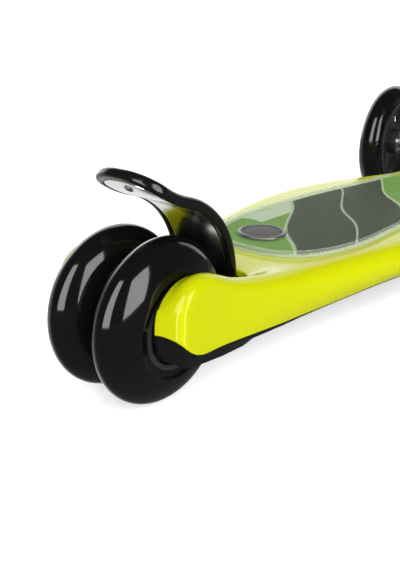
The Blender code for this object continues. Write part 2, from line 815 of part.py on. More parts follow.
def deck_screw(name, x, y):
    """A pan head screw, head down: its head sits in the recess above the bottom."""
    tip = drawn(deck_top, x) - SHELL_WALL * 1.5 - 2 * TOUCH_GAP
    bottom = drawn(frame_bottom, x) + TOUCH_GAP
    profile = [(0, tip - bottom), (SCREW_RADIUS, tip - bottom),
               (SCREW_RADIUS, SCREW_HEAD_HEIGHT), (SCREW_HEAD_RADIUS, SCREW_HEAD_HEIGHT),
               (SCREW_HEAD_RADIUS, 0), (0, 0)]
    screw = turned(name, profile, "zinc_steel", 12)
    world_x, base = rear(x, bottom)
    screw.matrix_world = Matrix.Translation((world_x, y, base))


# Standing surface

def pad_outline(inset):
    """The mat's plan: a blunt round rear end, a wide middle and a narrower front."""
    reach = PAD_WIDEST_X - PAD_REAR_X - inset
    half = []
    steps = 7
    for i in range(steps + 1):
        angle = math.radians(90 * i / steps)
        half.append((PAD_WIDEST_X - reach * math.cos(angle) ** PAD_END_POWER,
                     (PAD_HALF_WIDTH - inset) * math.sin(angle) ** PAD_SIDE_POWER))
    corner_x = PAD_FRONT_X - PAD_FRONT_CORNER
    for i in range(1, 5):
        x = PAD_NARROW_FROM_X + (corner_x - PAD_NARROW_FROM_X) * i / 4
        half.append((x, blend(x, PAD_NARROW_FROM_X, PAD_FRONT_X, PAD_HALF_WIDTH,
                              PAD_FRONT_HALF_WIDTH) - inset))
    end_y = half[-1][1]
    radius = PAD_FRONT_CORNER - inset
    half += arc(corner_x, end_y - radius, radius, 90, 0, 4)[1:]
    both = half + [(x, -y) for x, y in reversed(half) if y > MERGE]
    return [(x + REAR_AXLE_X, y) for x, y in both]


def pad_base():
    return REAR_WHEEL_RADIUS + DECK_TOP + TOUCH_GAP


def badge_body(name, grow, low, high, finish_name=None):
    bm = bmesh.new()
    bmesh.ops.create_cone(bm, cap_ends=True, segments=24, radius1=1.0, radius2=1.0,
                          depth=high - low)
    bmesh.ops.scale(bm, vec=(BADGE_LENGTH / 2 + grow, BADGE_WIDTH / 2 + grow, 1),
                    verts=bm.verts)
    made = from_bmesh(name, bm, finish_name)
    made.location = (REAR_AXLE_X + BADGE_X, BADGE_Y, (low + high) / 2)
    return made


def make_pad():
    """The clear mat with the printed film under it and the plain badge in its top."""
    base = pad_base()
    top = base + PAD_THICKNESS
    film_top = base + PRINT_THICKNESS
    mat = slab("grip_pad", pad_outline(0.0), base, top, "clear_mat")
    pocket = slab("film_pocket", pad_outline(PAD_RIM - TOUCH_GAP), base - PAD_THICKNESS,
                  film_top + TOUCH_GAP)
    seat = badge_body("badge_seat", TOUCH_GAP, top - BADGE_THICKNESS - TOUCH_GAP,
                      top + BADGE_THICKNESS)
    cut(mat, pocket, seat)
    slab("printed_film", pad_outline(PAD_RIM), base, film_top, "printed_film")
    badge_body("oval_badge", 0.0, top - BADGE_THICKNESS, top + TOUCH_GAP, "badge_dome")


# Wheels

def tyre(name, radius, width, depth, core_radius, centre):
    """A urethane tread: round across, on a straight bore that grips the core.

    Its flats lie on the true circle, and one of them is on the ground.
    """
    step = math.pi / TYRE_SEGMENTS
    power = 2 / TYRE_ROUNDNESS
    steps = 8
    half = width / 2
    widest = math.cos(math.radians(TYRE_SIDE_ANGLE)) ** power
    profile = []
    for i in range(steps + 1):
        angle = math.radians(TYRE_SIDE_ANGLE + (180 - 2 * TYRE_SIDE_ANGLE) * i / steps)
        side = math.copysign(abs(math.cos(angle)) ** power / widest, math.cos(angle))
        rise = math.sin(angle) ** power
        profile.append(((radius - depth + depth * rise) / math.cos(step), half * side))
    bore = core_radius + TOUCH_GAP
    profile += [(bore, -half), (bore, half)]
    made = turned(name, profile, "black_urethane", TYRE_SEGMENTS)
    set_place(made, centre, (0, 1, 0))
    made.matrix_world = made.matrix_world @ Matrix.Rotation(step, 4, "Z")


def core(name, width, outer, web, rim, centre, segments):
    """A nylon core: rim, web and hub, with a bearing seat in each face."""
    half = width / 2
    seat = half - BEARING_WIDTH - BEARING_INSET
    throat = BEARING_SEAT_RADIUS - BEARING_STOP
    profile = [(outer, half), (outer, -half), (outer - rim, -half), (outer - rim, -web),
               (HUB_RADIUS, -web), (HUB_RADIUS, -half), (BEARING_SEAT_RADIUS, -half),
               (BEARING_SEAT_RADIUS, -seat), (throat, -seat), (throat, seat),
               (BEARING_SEAT_RADIUS, seat), (BEARING_SEAT_RADIUS, half),
               (HUB_RADIUS, half), (HUB_RADIUS, web), (outer - rim, web),
               (outer - rim, half)]
    return set_place(turned(name, profile, "black_nylon", segments), centre, (0, 1, 0))


def bearing_set(name, width, centre):
    """The two bearings of one wheel, with the sleeve that holds them apart."""
    outer = width / 2 - BEARING_INSET
    inner = outer - BEARING_WIDTH + TOUCH_GAP
    profile = [(BEARING_RADIUS, outer), (BEARING_RADIUS, inner), (SPACER_RADIUS, inner),
               (SPACER_RADIUS, -inner), (BEARING_RADIUS, -inner), (BEARING_RADIUS, -outer),
               (BEARING_BORE_RADIUS, -outer), (BEARING_BORE_RADIUS, outer)]
    return set_place(turned(name, profile, "zinc_steel", 12), centre, (0, 1, 0))


def axle_spacer(name, x, z, start, end):
    """A plain sleeve on an axle, between two places along Y."""
    low, high = sorted((start, end))
    return ring(name, SPACER_RADIUS, BEARING_BORE_RADIUS, (x, low + TOUCH_GAP, z),
                (x, high - TOUCH_GAP, z), "zinc_steel", 12)


def make_rear_wheels():
    for name, side in SIDES:
        centre = (REAR_AXLE_X, side * REAR_WHEEL_Y, REAR_WHEEL_RADIUS)
        tyre(f"rear_tyre_{name}", REAR_WHEEL_RADIUS, REAR_WHEEL_WIDTH, REAR_TREAD_DEPTH,
             REAR_CORE_RADIUS, centre)
        core(f"rear_core_{name}", REAR_WHEEL_WIDTH, REAR_CORE_RADIUS, REAR_WEB_HALF,
             REAR_RIM, centre, 16)
        bearing_set(f"rear_bearing_set_{name}", REAR_WHEEL_WIDTH, centre)


def make_rear_axle():
    """The bolt through both arms, with its nut and the sleeve between the wheels."""
    x, z = rear(0, 0)
    face = boss_face() - TOUCH_GAP
    inner = well_floor() + TOUCH_GAP
    head = cylinder("axle_head", HEX_RADIUS, (x, -face, z), (x, -inner, z), segments=6)
    bolt = cylinder("rear_axle_bolt", AXLE_RADIUS, (x, -face + BITE, z), (x, face, z),
                    "zinc_steel", segments=20)
    join(bolt, head)
    nut = cylinder("rear_axle_nut", HEX_RADIUS, (x, inner, z), (x, face, z), "zinc_steel",
                   segments=6)
    cut(nut, cylinder("nut_bore", AXLE_RADIUS + TOUCH_GAP, (x, 0, z), (x, 2 * face, z),
                      segments=20))
    near = REAR_WHEEL_Y - REAR_WHEEL_WIDTH / 2 + BEARING_INSET
    axle_spacer("rear_twin_spacer", x, z, -near, near)


def make_front_wheels():
    for name, side in SIDES:
        x, z = FRONT_AXLE_X, FRONT_AXLE_Z
        y = side * FRONT_WHEEL_Y
        centre = (x, y, z)
        tyre(f"front_tyre_{name}", FRONT_WHEEL_RADIUS, FRONT_WHEEL_WIDTH,
             FRONT_TREAD_DEPTH, FRONT_CORE_RADIUS, centre)
        hub = core(f"front_core_{name}", FRONT_WHEEL_WIDTH, FRONT_CORE_RADIUS,
                   FRONT_WEB_HALF, FRONT_RIM, centre, 20)
        middle = (HUB_RADIUS + FRONT_CORE_RADIUS - FRONT_RIM) / 2
        hole = middle - HUB_RADIUS - SPOKE_MARGIN
        for i in range(FRONT_SPOKE_HOLES):
            angle = 2 * math.pi * i / FRONT_SPOKE_HOLES
            hx, hz = x + middle * math.cos(angle), z + middle * math.sin(angle)
            cut(hub, cylinder(f"spoke_hole_{name}_{i}", hole,
                              (hx, y - FRONT_WHEEL_WIDTH, hz),
                              (hx, y + FRONT_WHEEL_WIDTH, hz), segments=12))
        bearing_set(f"front_bearing_set_{name}", FRONT_WHEEL_WIDTH, centre)
        make_hub_cap(name, side)


def front_bearing_out():
    """How far out the outer bearing of a front wheel reaches."""
    return FRONT_WHEEL_Y + FRONT_WHEEL_WIDTH / 2 - BEARING_INSET


def make_hub_cap(name, side):
    """A domed cap on the hub, over the axle bolt's head."""
    inner = HUB_RADIUS - CAP_WALL
    profile = [(0, CAP_HEIGHT)]
    side_height = CAP_HEIGHT * CAP_SIDE_SHARE
    crown = CAP_HEIGHT - side_height
    profile += [(HUB_RADIUS * math.sin(a), side_height + crown * math.cos(a))
                for a in (0.5, 0.95, 1.3)]
    profile += [(HUB_RADIUS, 0), (inner, 0), (inner, side_height),
                (inner * CAP_FLAT_SHARE, CAP_HEIGHT - CAP_WALL), (0, CAP_HEIGHT - CAP_WALL)]
    cap = turned(f"front_hub_cap_{name}", profile, "black_nylon", 16)
    place = FRONT_WHEEL_Y + FRONT_WHEEL_WIDTH / 2 + TOUCH_GAP
    set_place(cap, (FRONT_AXLE_X, side * place, FRONT_AXLE_Z), (0, side, 0))


def make_front_axles():
    """One bolt from the outside of each wheel into the truck's arm."""
    x, z = FRONT_AXLE_X, FRONT_AXLE_Z
    for name, side in SIDES:
        seat = front_bearing_out() + TOUCH_GAP
        head = cylinder(f"front_head_{name}", FRONT_HEX_RADIUS, (x, side * seat, z),
                        (x, side * (seat + FRONT_HEX_HEIGHT), z), segments=6)
        bolt = cylinder(f"front_axle_bolt_{name}", AXLE_RADIUS,
                        (x, side * (TRUCK_ARM_END_Y - FRONT_BOLT_BITE + TOUCH_GAP), z),
                        (x, side * (seat + BITE), z), "zinc_steel", segments=20)
        join(bolt, head)
        near = FRONT_WHEEL_Y - FRONT_WHEEL_WIDTH / 2 + BEARING_INSET
        axle_spacer(f"front_spacer_{name}", x, z, side * TRUCK_ARM_END_Y, side * near)


# Leaning truck

def lean_axis():
    tilt = math.radians(LEAN_AXIS_TILT)
    return Vector((math.sin(tilt), 0, math.cos(tilt)))


def lean_point(along, across):
    """World place on the truck's pivot: along its axis, then across it, up and back."""
    tilt = math.radians(LEAN_AXIS_TILT)
    x, z = rear(LEAN_AXIS_X, LEAN_AXIS_Z)
    back = Vector((-math.cos(tilt), 0, math.sin(tilt)))
    return Vector((x, 0, z)) + along * lean_axis() + across * back


def make_truck():
    boss = cylinder("truck_beam", TRUCK_BOSS_RADIUS, lean_point(-TRUCK_BOSS_HALF, 0),
                    lean_point(TRUCK_BOSS_HALF, 0), "black_nylon", segments=28)
    x, z = FRONT_AXLE_X, FRONT_AXLE_Z
    arm = cylinder("truck_arms", TRUCK_ARM_RADIUS, (x, -TRUCK_ARM_END_Y, z),
                   (x, TRUCK_ARM_END_Y, z))
    join(boss, arm)
    bore = PIVOT_BUSH_RADIUS + TOUCH_GAP
    cut(boss, cylinder("pivot_bore", bore, lean_point(-TRUCK_BOSS_HALF * 2, 0),
                       lean_point(TRUCK_BOSS_HALF * 2, 0)))
    for name, side in SIDES:
        cut(boss, cylinder(f"arm_bore_{name}", AXLE_RADIUS + TOUCH_GAP,
                           (x, side * (TRUCK_ARM_END_Y - FRONT_BOLT_BITE), z),
                           (x, side * (TRUCK_ARM_END_Y + FRONT_BOLT_BITE), z), segments=16))


def make_lean_pivot():
    """King pin and nut, the bush in the truck, and the rubbers above and below it."""
    ring("pivot_bush", PIVOT_BUSH_RADIUS, AXLE_RADIUS + TOUCH_GAP,
         lean_point(-TRUCK_BOSS_HALF, 0), lean_point(TRUCK_BOSS_HALF, 0), "black_nylon", 16)
    for name, way in (("lower", -1), ("upper", 1)):
        start = way * (TRUCK_BOSS_HALF + TOUCH_GAP)
        end = way * (LUG_INNER - TOUCH_GAP)
        ring(f"centring_rubber_{name}", RUBBER_RADIUS, AXLE_RADIUS + TOUCH_GAP,
             lean_point(start, 0), lean_point(end, 0), "black_rubber", 18)
    seat = LUG_OUTER + TOUCH_GAP
    head = cylinder("king_head", HEX_RADIUS, lean_point(seat, 0),
                    lean_point(seat + HEX_HEIGHT, 0), segments=6)
    pin = cylinder("king_pin", AXLE_RADIUS, lean_point(-seat - HEX_HEIGHT, 0),
                   lean_point(seat + BITE, 0), "zinc_steel", segments=20)
    join(pin, head)
    nut = cylinder("king_pin_nut", HEX_RADIUS, lean_point(-seat - HEX_HEIGHT, 0),
                   lean_point(-seat, 0), "zinc_steel", segments=6)
    cut(nut, cylinder("king_nut_bore", AXLE_RADIUS + TOUCH_GAP, lean_point(-2 * seat, 0),
                      lean_point(0, 0), segments=20))


# Front housing

def column_point(up, back=0.0, y=0.0):
    """World place on the steering column: up along it, then square to it, backwards."""
    lean = math.radians(COLUMN_LEAN)
    x, z = rear(COLUMN_X, COLUMN_Z)
    return Vector((x - up * math.sin(lean) - back * math.cos(lean), y,
                   z + up * math.cos(lean) - back * math.sin(lean)))


def column_axis():
    return column_point(1.0) - column_point(0.0)


def column_box(name, up, back, y, finish_name=None):
    """A box lined up with the column, from ranges up it, backwards and along Y."""
    made = box(name, (-(back[1] - back[0]) / 2, -(y[1] - y[0]) / 2, -(up[1] - up[0]) / 2),
               ((back[1] - back[0]) / 2, (y[1] - y[0]) / 2, (up[1] - up[0]) / 2), finish_name)
    middle = column_point(sum(up) / 2, sum(back) / 2, sum(y) / 2)
    made.matrix_world = (Matrix.Translation(middle)
                         @ Matrix.Rotation(math.radians(-COLUMN_LEAN), 4, "Y"))
    return made


def housing_side():
    """The housing seen from the side: block, sloping web and the two lugs' roots."""
    back_x, top_z = rear(NOSE_X + HOUSING_BACK, COLUMN_Z + HOUSING_RISE)
    _, low_z = rear(0, FRAME_BOTTOM_DECK - STEP)
    places = [lean_point(-LUG_OUTER, 0), lean_point(-LUG_INNER, 0),
              lean_point(-LUG_INNER, WEB_INNER), lean_point(LUG_INNER, WEB_INNER),
              lean_point(LUG_INNER, 0), lean_point(LUG_OUTER, 0),
              lean_point(LUG_OUTER, WEB_OUTER), lean_point(WEB_TOP_ALONG, WEB_OUTER)]
    return [(back_x, top_z), (back_x, low_z)] + [(p.x, p.z) for p in places]


def make_front_housing():
    housing = frame_body("front_housing", TONGUE_X, NOSE_X)
    sole = sole_body(TONGUE_X + STEP, NOSE_X + STEP)
    neck = loft("housing_neck", [deck_section(NOSE_X, SHELL_WALL + STEP, at=x)
                                 for x in (NOSE_X - NECK_BACK, NOSE_X + NECK_FRONT)])
    low = frame_bottom(NOSE_X) + STEP
    front = NOSE_X + FLANGE_LENGTH
    flange = loft("housing_flange",
                  [deck_section(NOSE_X, 0.0, low=low, at=NOSE_X + TOUCH_GAP),
                   deck_section(NOSE_X, 0.0, low=low, at=front - FLANGE_EDGE_LENGTH),
                   deck_section(NOSE_X, FLANGE_EDGE_DEPTH, low=low, at=front)])
    side = slab("housing_block", housing_side(), -HOUSING_HALF_WIDTH, HOUSING_HALF_WIDTH,
                upright=True)
    socket = cylinder("column_socket", SOCKET_RADIUS, column_point(SOCKET_START),
                      column_point(SOCKET_TOP), segments=24)
    lugs = [cylinder(f"lug_{i}", LUG_RADIUS, lean_point(way * (LUG_INNER + STEP), 0),
                     lean_point(way * (LUG_OUTER - STEP), 0), segments=28)
            for i, way in enumerate((-1, 1))]
    join(housing, sole, neck, flange, side, socket, *lugs)
    bore = cylinder("socket_bore", LOWER_TUBE_RADIUS + TOUCH_GAP,
                    column_point(LOWER_TUBE_START), column_point(2 * SOCKET_TOP),
                    segments=24)
    pin_room = cylinder("king_bore", AXLE_RADIUS + TOUCH_GAP, lean_point(-2 * LUG_OUTER, 0),
                        lean_point(2 * LUG_OUTER, 0), segments=20)
    nut_room = cylinder("king_nut_room", HEX_RADIUS + KING_NUT_ROOM,
                        lean_point(-LUG_OUTER, 0), lean_point(-2 * LUG_OUTER, 0))
    cut(housing, bore, pin_room, nut_room, button_hole())
    x = TONGUE_SCREW_X
    bottom = drawn(frame_bottom, x)
    for name, way in SIDES:
        y = way * TONGUE_SCREW_Y
        cut(housing,
            upright_bar(f"tongue_hole_{name}", SCREW_RADIUS + SCREW_CLEARANCE, x, y,
                        bottom - SHELL_WALL, deck_top(x), 12),
            upright_bar(f"tongue_recess_{name}", SCREW_HEAD_RADIUS + SCREW_CLEARANCE, x, y,
                        bottom - SHELL_WALL,
                        bottom + SCREW_HEAD_HEIGHT + 2 * TOUCH_GAP, 14))


# Steering column

def make_column():
    tube = ring("lower_tube", LOWER_TUBE_RADIUS, LOWER_TUBE_RADIUS - LOWER_TUBE_WALL,
                column_point(LOWER_TUBE_START + TOUCH_GAP), column_point(LOWER_TUBE_END),
                "silver_aluminium", 24)
    cut(tube, button_hole())
    inside = LOWER_TUBE_RADIUS - LOWER_TUBE_WALL - TOUCH_GAP
    outside = INNER_TUBE_RADIUS + TOUCH_GAP
    flange_low = LOWER_TUBE_END + TOUCH_GAP
    profile = [(LOWER_TUBE_RADIUS, GUIDE_FLANGE), (LOWER_TUBE_RADIUS, 0), (inside, 0),
               (inside, -GUIDE_LENGTH), (outside, -GUIDE_LENGTH), (outside, GUIDE_FLANGE)]
    guide = turned("guide_bush", profile, "black_nylon", 24)
    set_place(guide, column_point(flange_low), column_axis())
    inner = ring("inner_tube", INNER_TUBE_RADIUS, INNER_TUBE_RADIUS - INNER_TUBE_WALL,
                 column_point(INNER_TUBE_START), column_point(INNER_TUBE_END),
                 "silver_aluminium", 24)
    cut(inner, tee_screw_hole())


def make_height_clamp():
    """The split collar on the lower tube, its bolt and nut, and the cam lever."""
    top = LOWER_TUBE_END - CLAMP_BELOW_TOP
    low = top - CLAMP_LENGTH
    middle = (top + low) / 2
    outer = LOWER_TUBE_RADIUS + TOUCH_GAP + CLAMP_WALL
    collar = cylinder("height_clamp", outer, column_point(low), column_point(top),
                      "black_nylon", 24)
    ears = column_box("clamp_ears", (low, top), (LOWER_TUBE_RADIUS, CLAMP_EAR_REACH),
                      (-CLAMP_EAR_HALF, CLAMP_EAR_HALF))
    join(collar, ears)
    cut(collar,
        cylinder("clamp_bore", LOWER_TUBE_RADIUS + TOUCH_GAP, column_point(0),
                 column_point(2 * LOWER_TUBE_END), segments=24),
        column_box("clamp_slit", (low - CLAMP_LENGTH, top + CLAMP_LENGTH),
                   (0, 2 * CLAMP_EAR_REACH),
                   (-CLAMP_SLIT / 2, CLAMP_SLIT / 2)),
        cylinder("clamp_bolt_hole", CLAMP_BOLT_RADIUS + TOUCH_GAP,
                 column_point(middle, CLAMP_BOLT_OFFSET, -2 * CLAMP_EAR_HALF),
                 column_point(middle, CLAMP_BOLT_OFFSET, 2 * CLAMP_EAR_HALF), segments=16))
    cam_y = -(CLAMP_EAR_HALF + CAM_RADIUS + CAM_GAP)
    nut_end = CLAMP_EAR_HALF + TOUCH_GAP + CLAMP_NUT_HEIGHT
    bolt = cylinder("clamp_bolt", CLAMP_BOLT_RADIUS,
                    column_point(middle, CLAMP_BOLT_OFFSET, cam_y),
                    column_point(middle, CLAMP_BOLT_OFFSET, nut_end), "zinc_steel", 16)
    eye_radius = CAM_PIN_RADIUS + BOLT_EYE_WALL
    join(bolt, cylinder("bolt_eye", eye_radius,
                        column_point(middle - BOLT_EYE_HALF, CLAMP_BOLT_OFFSET, cam_y),
                        column_point(middle + BOLT_EYE_HALF, CLAMP_BOLT_OFFSET, cam_y)))
    pin_hole = cylinder("cam_pin_hole", CAM_PIN_RADIUS + TOUCH_GAP,
                        column_point(middle - CLAMP_LENGTH, CLAMP_BOLT_OFFSET, cam_y),
                        column_point(middle + CLAMP_LENGTH, CLAMP_BOLT_OFFSET, cam_y),
                        segments=16)
    cut(bolt, pin_hole)
    nut = cylinder("clamp_nut", CLAMP_NUT_RADIUS,
                   column_point(middle, CLAMP_BOLT_OFFSET, CLAMP_EAR_HALF + TOUCH_GAP),
                   column_point(middle, CLAMP_BOLT_OFFSET, nut_end), "zinc_steel", 6)
    cut(nut, cylinder("clamp_nut_bore", CLAMP_BOLT_RADIUS + TOUCH_GAP,
                      column_point(middle, CLAMP_BOLT_OFFSET, 0),
                      column_point(middle, CLAMP_BOLT_OFFSET, 2 * nut_end), segments=16))
    lever = cylinder("clamp_lever", CAM_RADIUS,
                     column_point(middle - CAM_HALF_HEIGHT, CLAMP_BOLT_OFFSET, cam_y),
                     column_point(middle + CAM_HALF_HEIGHT, CLAMP_BOLT_OFFSET, cam_y),
                     "black_nylon", 20)
    blade_inner = -(outer + CAM_GAP)
    blade_outer = blade_inner - LEVER_THICKNESS
    blade = column_box("lever_blade", (middle - CAM_HALF_HEIGHT, middle + CAM_HALF_HEIGHT),
                       (CLAMP_BOLT_OFFSET - LEVER_LENGTH, CLAMP_BOLT_OFFSET + LEVER_HEEL),
                       (blade_outer, blade_inner))
    join(lever, blade)
    slot_half = BOLT_EYE_HALF + CAM_GAP
    cut(lever,
        column_box("eye_slot", (middle - slot_half, middle + slot_half),
                   (CLAMP_BOLT_OFFSET - CAM_SLOT_HALF, CLAMP_BOLT_OFFSET + CAM_SLOT_HALF),
                   (cam_y - eye_radius - CAM_GAP, 0)), pin_hole)
    cylinder("cam_pin", CAM_PIN_RADIUS,
             column_point(middle - CAM_HALF_HEIGHT, CLAMP_BOLT_OFFSET, cam_y),
             column_point(middle + CAM_HALF_HEIGHT, CLAMP_BOLT_OFFSET, cam_y),
             "zinc_steel", 16)


def tee_screw_line():
    station = INNER_TUBE_END - TEE_SCREW_DROP
    return (column_point(station, INNER_TUBE_RADIUS - TEE_SCREW_DEPTH),
            column_point(station, TEE_STEM_RADIUS + TEE_SCREW_PROUD))


def tee_screw_hole():
    start, end = tee_screw_line()
    way = (end - start).normalized() * TEE_SCREW_RADIUS
    return cylinder("tee_screw_hole", TEE_SCREW_RADIUS + TOUCH_GAP, start - way, end + way,
                    segments=12)


def make_handlebar():
    """Tee, crossbar and grips, all carried by the inner tube."""
    height = BAR_HEIGHT
    tee = cylinder("bar_tee", TEE_RADIUS, column_point(height, 0, -TEE_HALF_LENGTH),
                   column_point(height, 0, TEE_HALF_LENGTH), "black_plastic", 24)
    join(tee, cylinder("tee_stem", TEE_STEM_RADIUS,
                       column_point(height - TEE_SOCKET_LENGTH), column_point(height),
                       segments=24))
    bar = BAR_LENGTH / 2
    cut(tee,
        cylinder("tee_bore", BAR_RADIUS + TOUCH_GAP, column_point(height, 0, -bar),
                 column_point(height, 0, bar), segments=24),
        cylinder("tee_socket", INNER_TUBE_RADIUS + TOUCH_GAP,
                 column_point(height - 2 * TEE_SOCKET_LENGTH),
                 column_point(INNER_TUBE_END + TOUCH_GAP), segments=24),
        tee_screw_hole())
    start, end = tee_screw_line()
    cylinder("tee_screw", TEE_SCREW_RADIUS, start, end, "zinc_steel", 12)
    ring("handlebar_tube", BAR_RADIUS, BAR_RADIUS - BAR_WALL, column_point(height, 0, -bar),
         column_point(height, 0, bar), "silver_aluminium", 24)
    for name, side in SIDES:
        grip = turned(f"grip_{name}", grip_profile(), "black_rubber", 20)
        set_place(grip, column_point(height, 0, side * bar), (0, side, 0))


def grip_profile():
    """The grip from its closed end to its inner flange."""
    bore = BAR_RADIUS + TOUCH_GAP
    end = GRIP_END_WALL
    inner = end - GRIP_LENGTH
    points = [(0, end), (GRIP_RADIUS - GRIP_EDGE, end), (GRIP_RADIUS, end - GRIP_EDGE)]
    points += [(GRIP_RADIUS, inner + GRIP_FLANGE_WIDTH),
               (GRIP_FLANGE_RADIUS, inner + GRIP_FLANGE_WIDTH), (GRIP_FLANGE_RADIUS, inner),
               (bore, inner), (bore, TOUCH_GAP), (0, TOUCH_GAP)]
    return points


# Release button

def button_hole():
    return cylinder("button_hole", BUTTON_HOLE_RADIUS,
                    column_point(BUTTON_STATION, BUTTON_HOLE_START),
                    column_point(BUTTON_STATION, 2 * SOCKET_RADIUS), segments=20)


def button_seat():
    """Where the flange's outer face lies, clear of the tube's round inside."""
    inside = LOWER_TUBE_RADIUS - LOWER_TUBE_WALL
    return math.sqrt(inside ** 2 - BUTTON_FLANGE_RADIUS ** 2) - TOUCH_GAP


def make_release_button():
    """The snap button that holds the column in its socket, and its spring clip."""
    seat = button_seat()
    station = BUTTON_STATION
    button = cylinder("release_button", BUTTON_RADIUS, column_point(station, seat - BITE),
                      column_point(station, SOCKET_RADIUS + BUTTON_PROUD), "zinc_steel", 20)
    join(button, cylinder("button_flange", BUTTON_FLANGE_RADIUS,
                          column_point(station, seat - BUTTON_FLANGE_HEIGHT),
                          column_point(station, seat), segments=20))
    inside = LOWER_TUBE_RADIUS - LOWER_TUBE_WALL
    wall_reach = math.sqrt(inside ** 2 - (CLIP_WIDTH / 2) ** 2) - TOUCH_GAP
    back = seat - BUTTON_FLANGE_HEIGHT - TOUCH_GAP
    front = -wall_reach
    low = station - BUTTON_FLANGE_RADIUS
    bend = CLIP_BEND_STATION
    thick = CLIP_THICKNESS
    outline = [(low, back), (station + BUTTON_FLANGE_RADIUS, back), (bend, thick),
               (bend, -thick), (low, front), (low, front + thick), (bend - 4 * thick, 0),
               (station + BUTTON_FLANGE_RADIUS, back - thick), (low, back - thick)]
    places = [column_point(up, out) for up, out in outline]
    slab("button_clip", [(p.x, p.z) for p in places], -CLIP_WIDTH / 2, CLIP_WIDTH / 2,
         "zinc_steel", upright=True)


# Brake

def brake_path(step_deg=11.0):
    """The fender's outer line seen from the side, as (x, z, heading) from the rear axle."""
    x = BRAKE_HINGE_X + BRAKE_ROOT_AHEAD
    z = BRAKE_HINGE_Z + BRAKE_ROOT_UP
    heading = BRAKE_BASE_HEADING
    found = [(x, z, heading)]

    def straight(length):
        nonlocal x, z
        x += length * math.cos(math.radians(heading))
        z += length * math.sin(math.radians(heading))
        found.append((x, z, heading))

    def bend(radius, sweep):
        nonlocal x, z, heading
        way = math.copysign(1, sweep)
        side = math.radians(heading + 90 * way)
        cx, cz = x + radius * math.cos(side), z + radius * math.sin(side)
        steps = max(2, round(abs(sweep) / step_deg))
        start = heading
        for i in range(1, steps + 1):
            heading = start + sweep * i / steps
            side = math.radians(heading + 90 * way)
            x, z = cx - radius * math.cos(side), cz - radius * math.sin(side)
            found.append((x, z, heading))

    straight(BRAKE_RISE)
    bend(BRAKE_BASE_RADIUS, BRAKE_BASE_SWEEP)
    bend(BRAKE_KICK_RADIUS, -BRAKE_KICK_SWEEP)
    return found


def path_marks():
    """How far along the path each of its points lies."""
    path = brake_path()
    marks = [0.0]
    for a, b in zip(path, path[1:]):
        marks.append(marks[-1] + math.hypot(b[0] - a[0], b[1] - a[1]))
    return marks


def path_length():
    return path_marks()[-1]


def path_at(mark):
    """The place on the brake's path at a length along it."""
    marks = path_marks()
    return tuple(np.interp(mark, marks, values) for values in zip(*brake_path()))


def path_between(start, end):
    """The stretch of the brake's path between two lengths along it."""
    inside = [mark for mark in path_marks() if start + MERGE < mark < end - MERGE]
    return [path_at(mark) for mark in [start] + inside + [end]]


def inward(point, offset):
    """A place beside the path, on the wheels' side, in world x and z."""
    x, z, heading = point
    side = math.radians(heading + 90)
    return rear(x + offset * math.cos(side), z + offset * math.sin(side))


def strip(name, path, near, far, low_y, high_y, finish_name=None):
    """A band along the path between two offsets, across part of its width."""
    outline = [inward(p, near) for p in path] + [inward(p, far) for p in reversed(path)]
    return slab(name, outline, low_y, high_y, finish_name, upright=True)


def tip_cutter(name, side):
    """Takes one corner off the tip, so that it ends in a round tongue."""
    tip = brake_path()[-1][0]
    reach = BRAKE_TIP_REACH
    flat = BRAKE_TIP_FLAT / 2
    outside = BRAKE_HALF_WIDTH + reach
    outline = [(tip - reach, flat), (tip - reach, outside), (tip + reach, outside)]
    outline += [(tip + reach + reach * x, flat + (BRAKE_HALF_WIDTH - flat) * y)
                for x, y in arc(0, 0, 1, 90, 180, 8)]
    placed = [(x + REAR_AXLE_X, side * y) for x, y in outline]
    _, base = rear(0, REAR_WHEEL_RADIUS)
    return slab(name, placed, base, base + 2 * REAR_WHEEL_RADIUS)


def plate_inner():
    return BRAKE_WEB + TOUCH_GAP


def rivet_places():
    """Where the plate's two rivets go: one near the base and one near the tip."""
    first = PLATE_START + RIVET_FROM_START
    last = path_length() - BRAKE_TIP_PAD - RIVET_FROM_END
    return (("lower", path_at(first)), ("upper", path_at(last)))


def rivet_line(point, start, end):
    a, b = inward(point, start), inward(point, end)
    return (a[0], 0.0, a[1]), (b[0], 0.0, b[1])


def fender_section(mark, web, lip):
    """The fender's cross section at a place on its path: a web between two lips."""
    edge = BRAKE_HALF_WIDTH - BRAKE_LIP_WIDTH
    half = [(BRAKE_HALF_WIDTH, 0.0), (BRAKE_HALF_WIDTH, lip), (edge, lip), (edge, web)]
    both = half + [(-y, depth) for y, depth in reversed(half)]
    found = []
    for y, depth in both:
        x, z = inward(path_at(mark), depth)
        found.append((x, y, z))
    return found


def fender_body():
    """The strap: its lips run out above the hinge, and its tip is filled between them."""
    total = path_length()
    lip = BRAKE_WEB + BRAKE_LIP_DEPTH
    shallow = BRAKE_WEB + STEP
    lip_marks = (0.0, BRAKE_LIP_START, BRAKE_LIP_START + BRAKE_LIP_RAMP, total)
    lip_depths = (shallow, shallow, lip, lip)
    pad = total - BRAKE_TIP_PAD
    web_marks = (0.0, pad, pad + STEP, total)
    web_depths = (BRAKE_WEB, BRAKE_WEB, lip - STEP / 2, lip - STEP / 2)
    rings = []
    last = -1.0
    for mark in sorted([*path_marks(), *lip_marks, *web_marks]):
        if mark > last + MERGE:
            web = np.interp(mark, web_marks, web_depths)
            rings.append(fender_section(mark, web, np.interp(mark, lip_marks, lip_depths)))
            last = mark
    return loft("brake_fender", rings, "black_plastic")


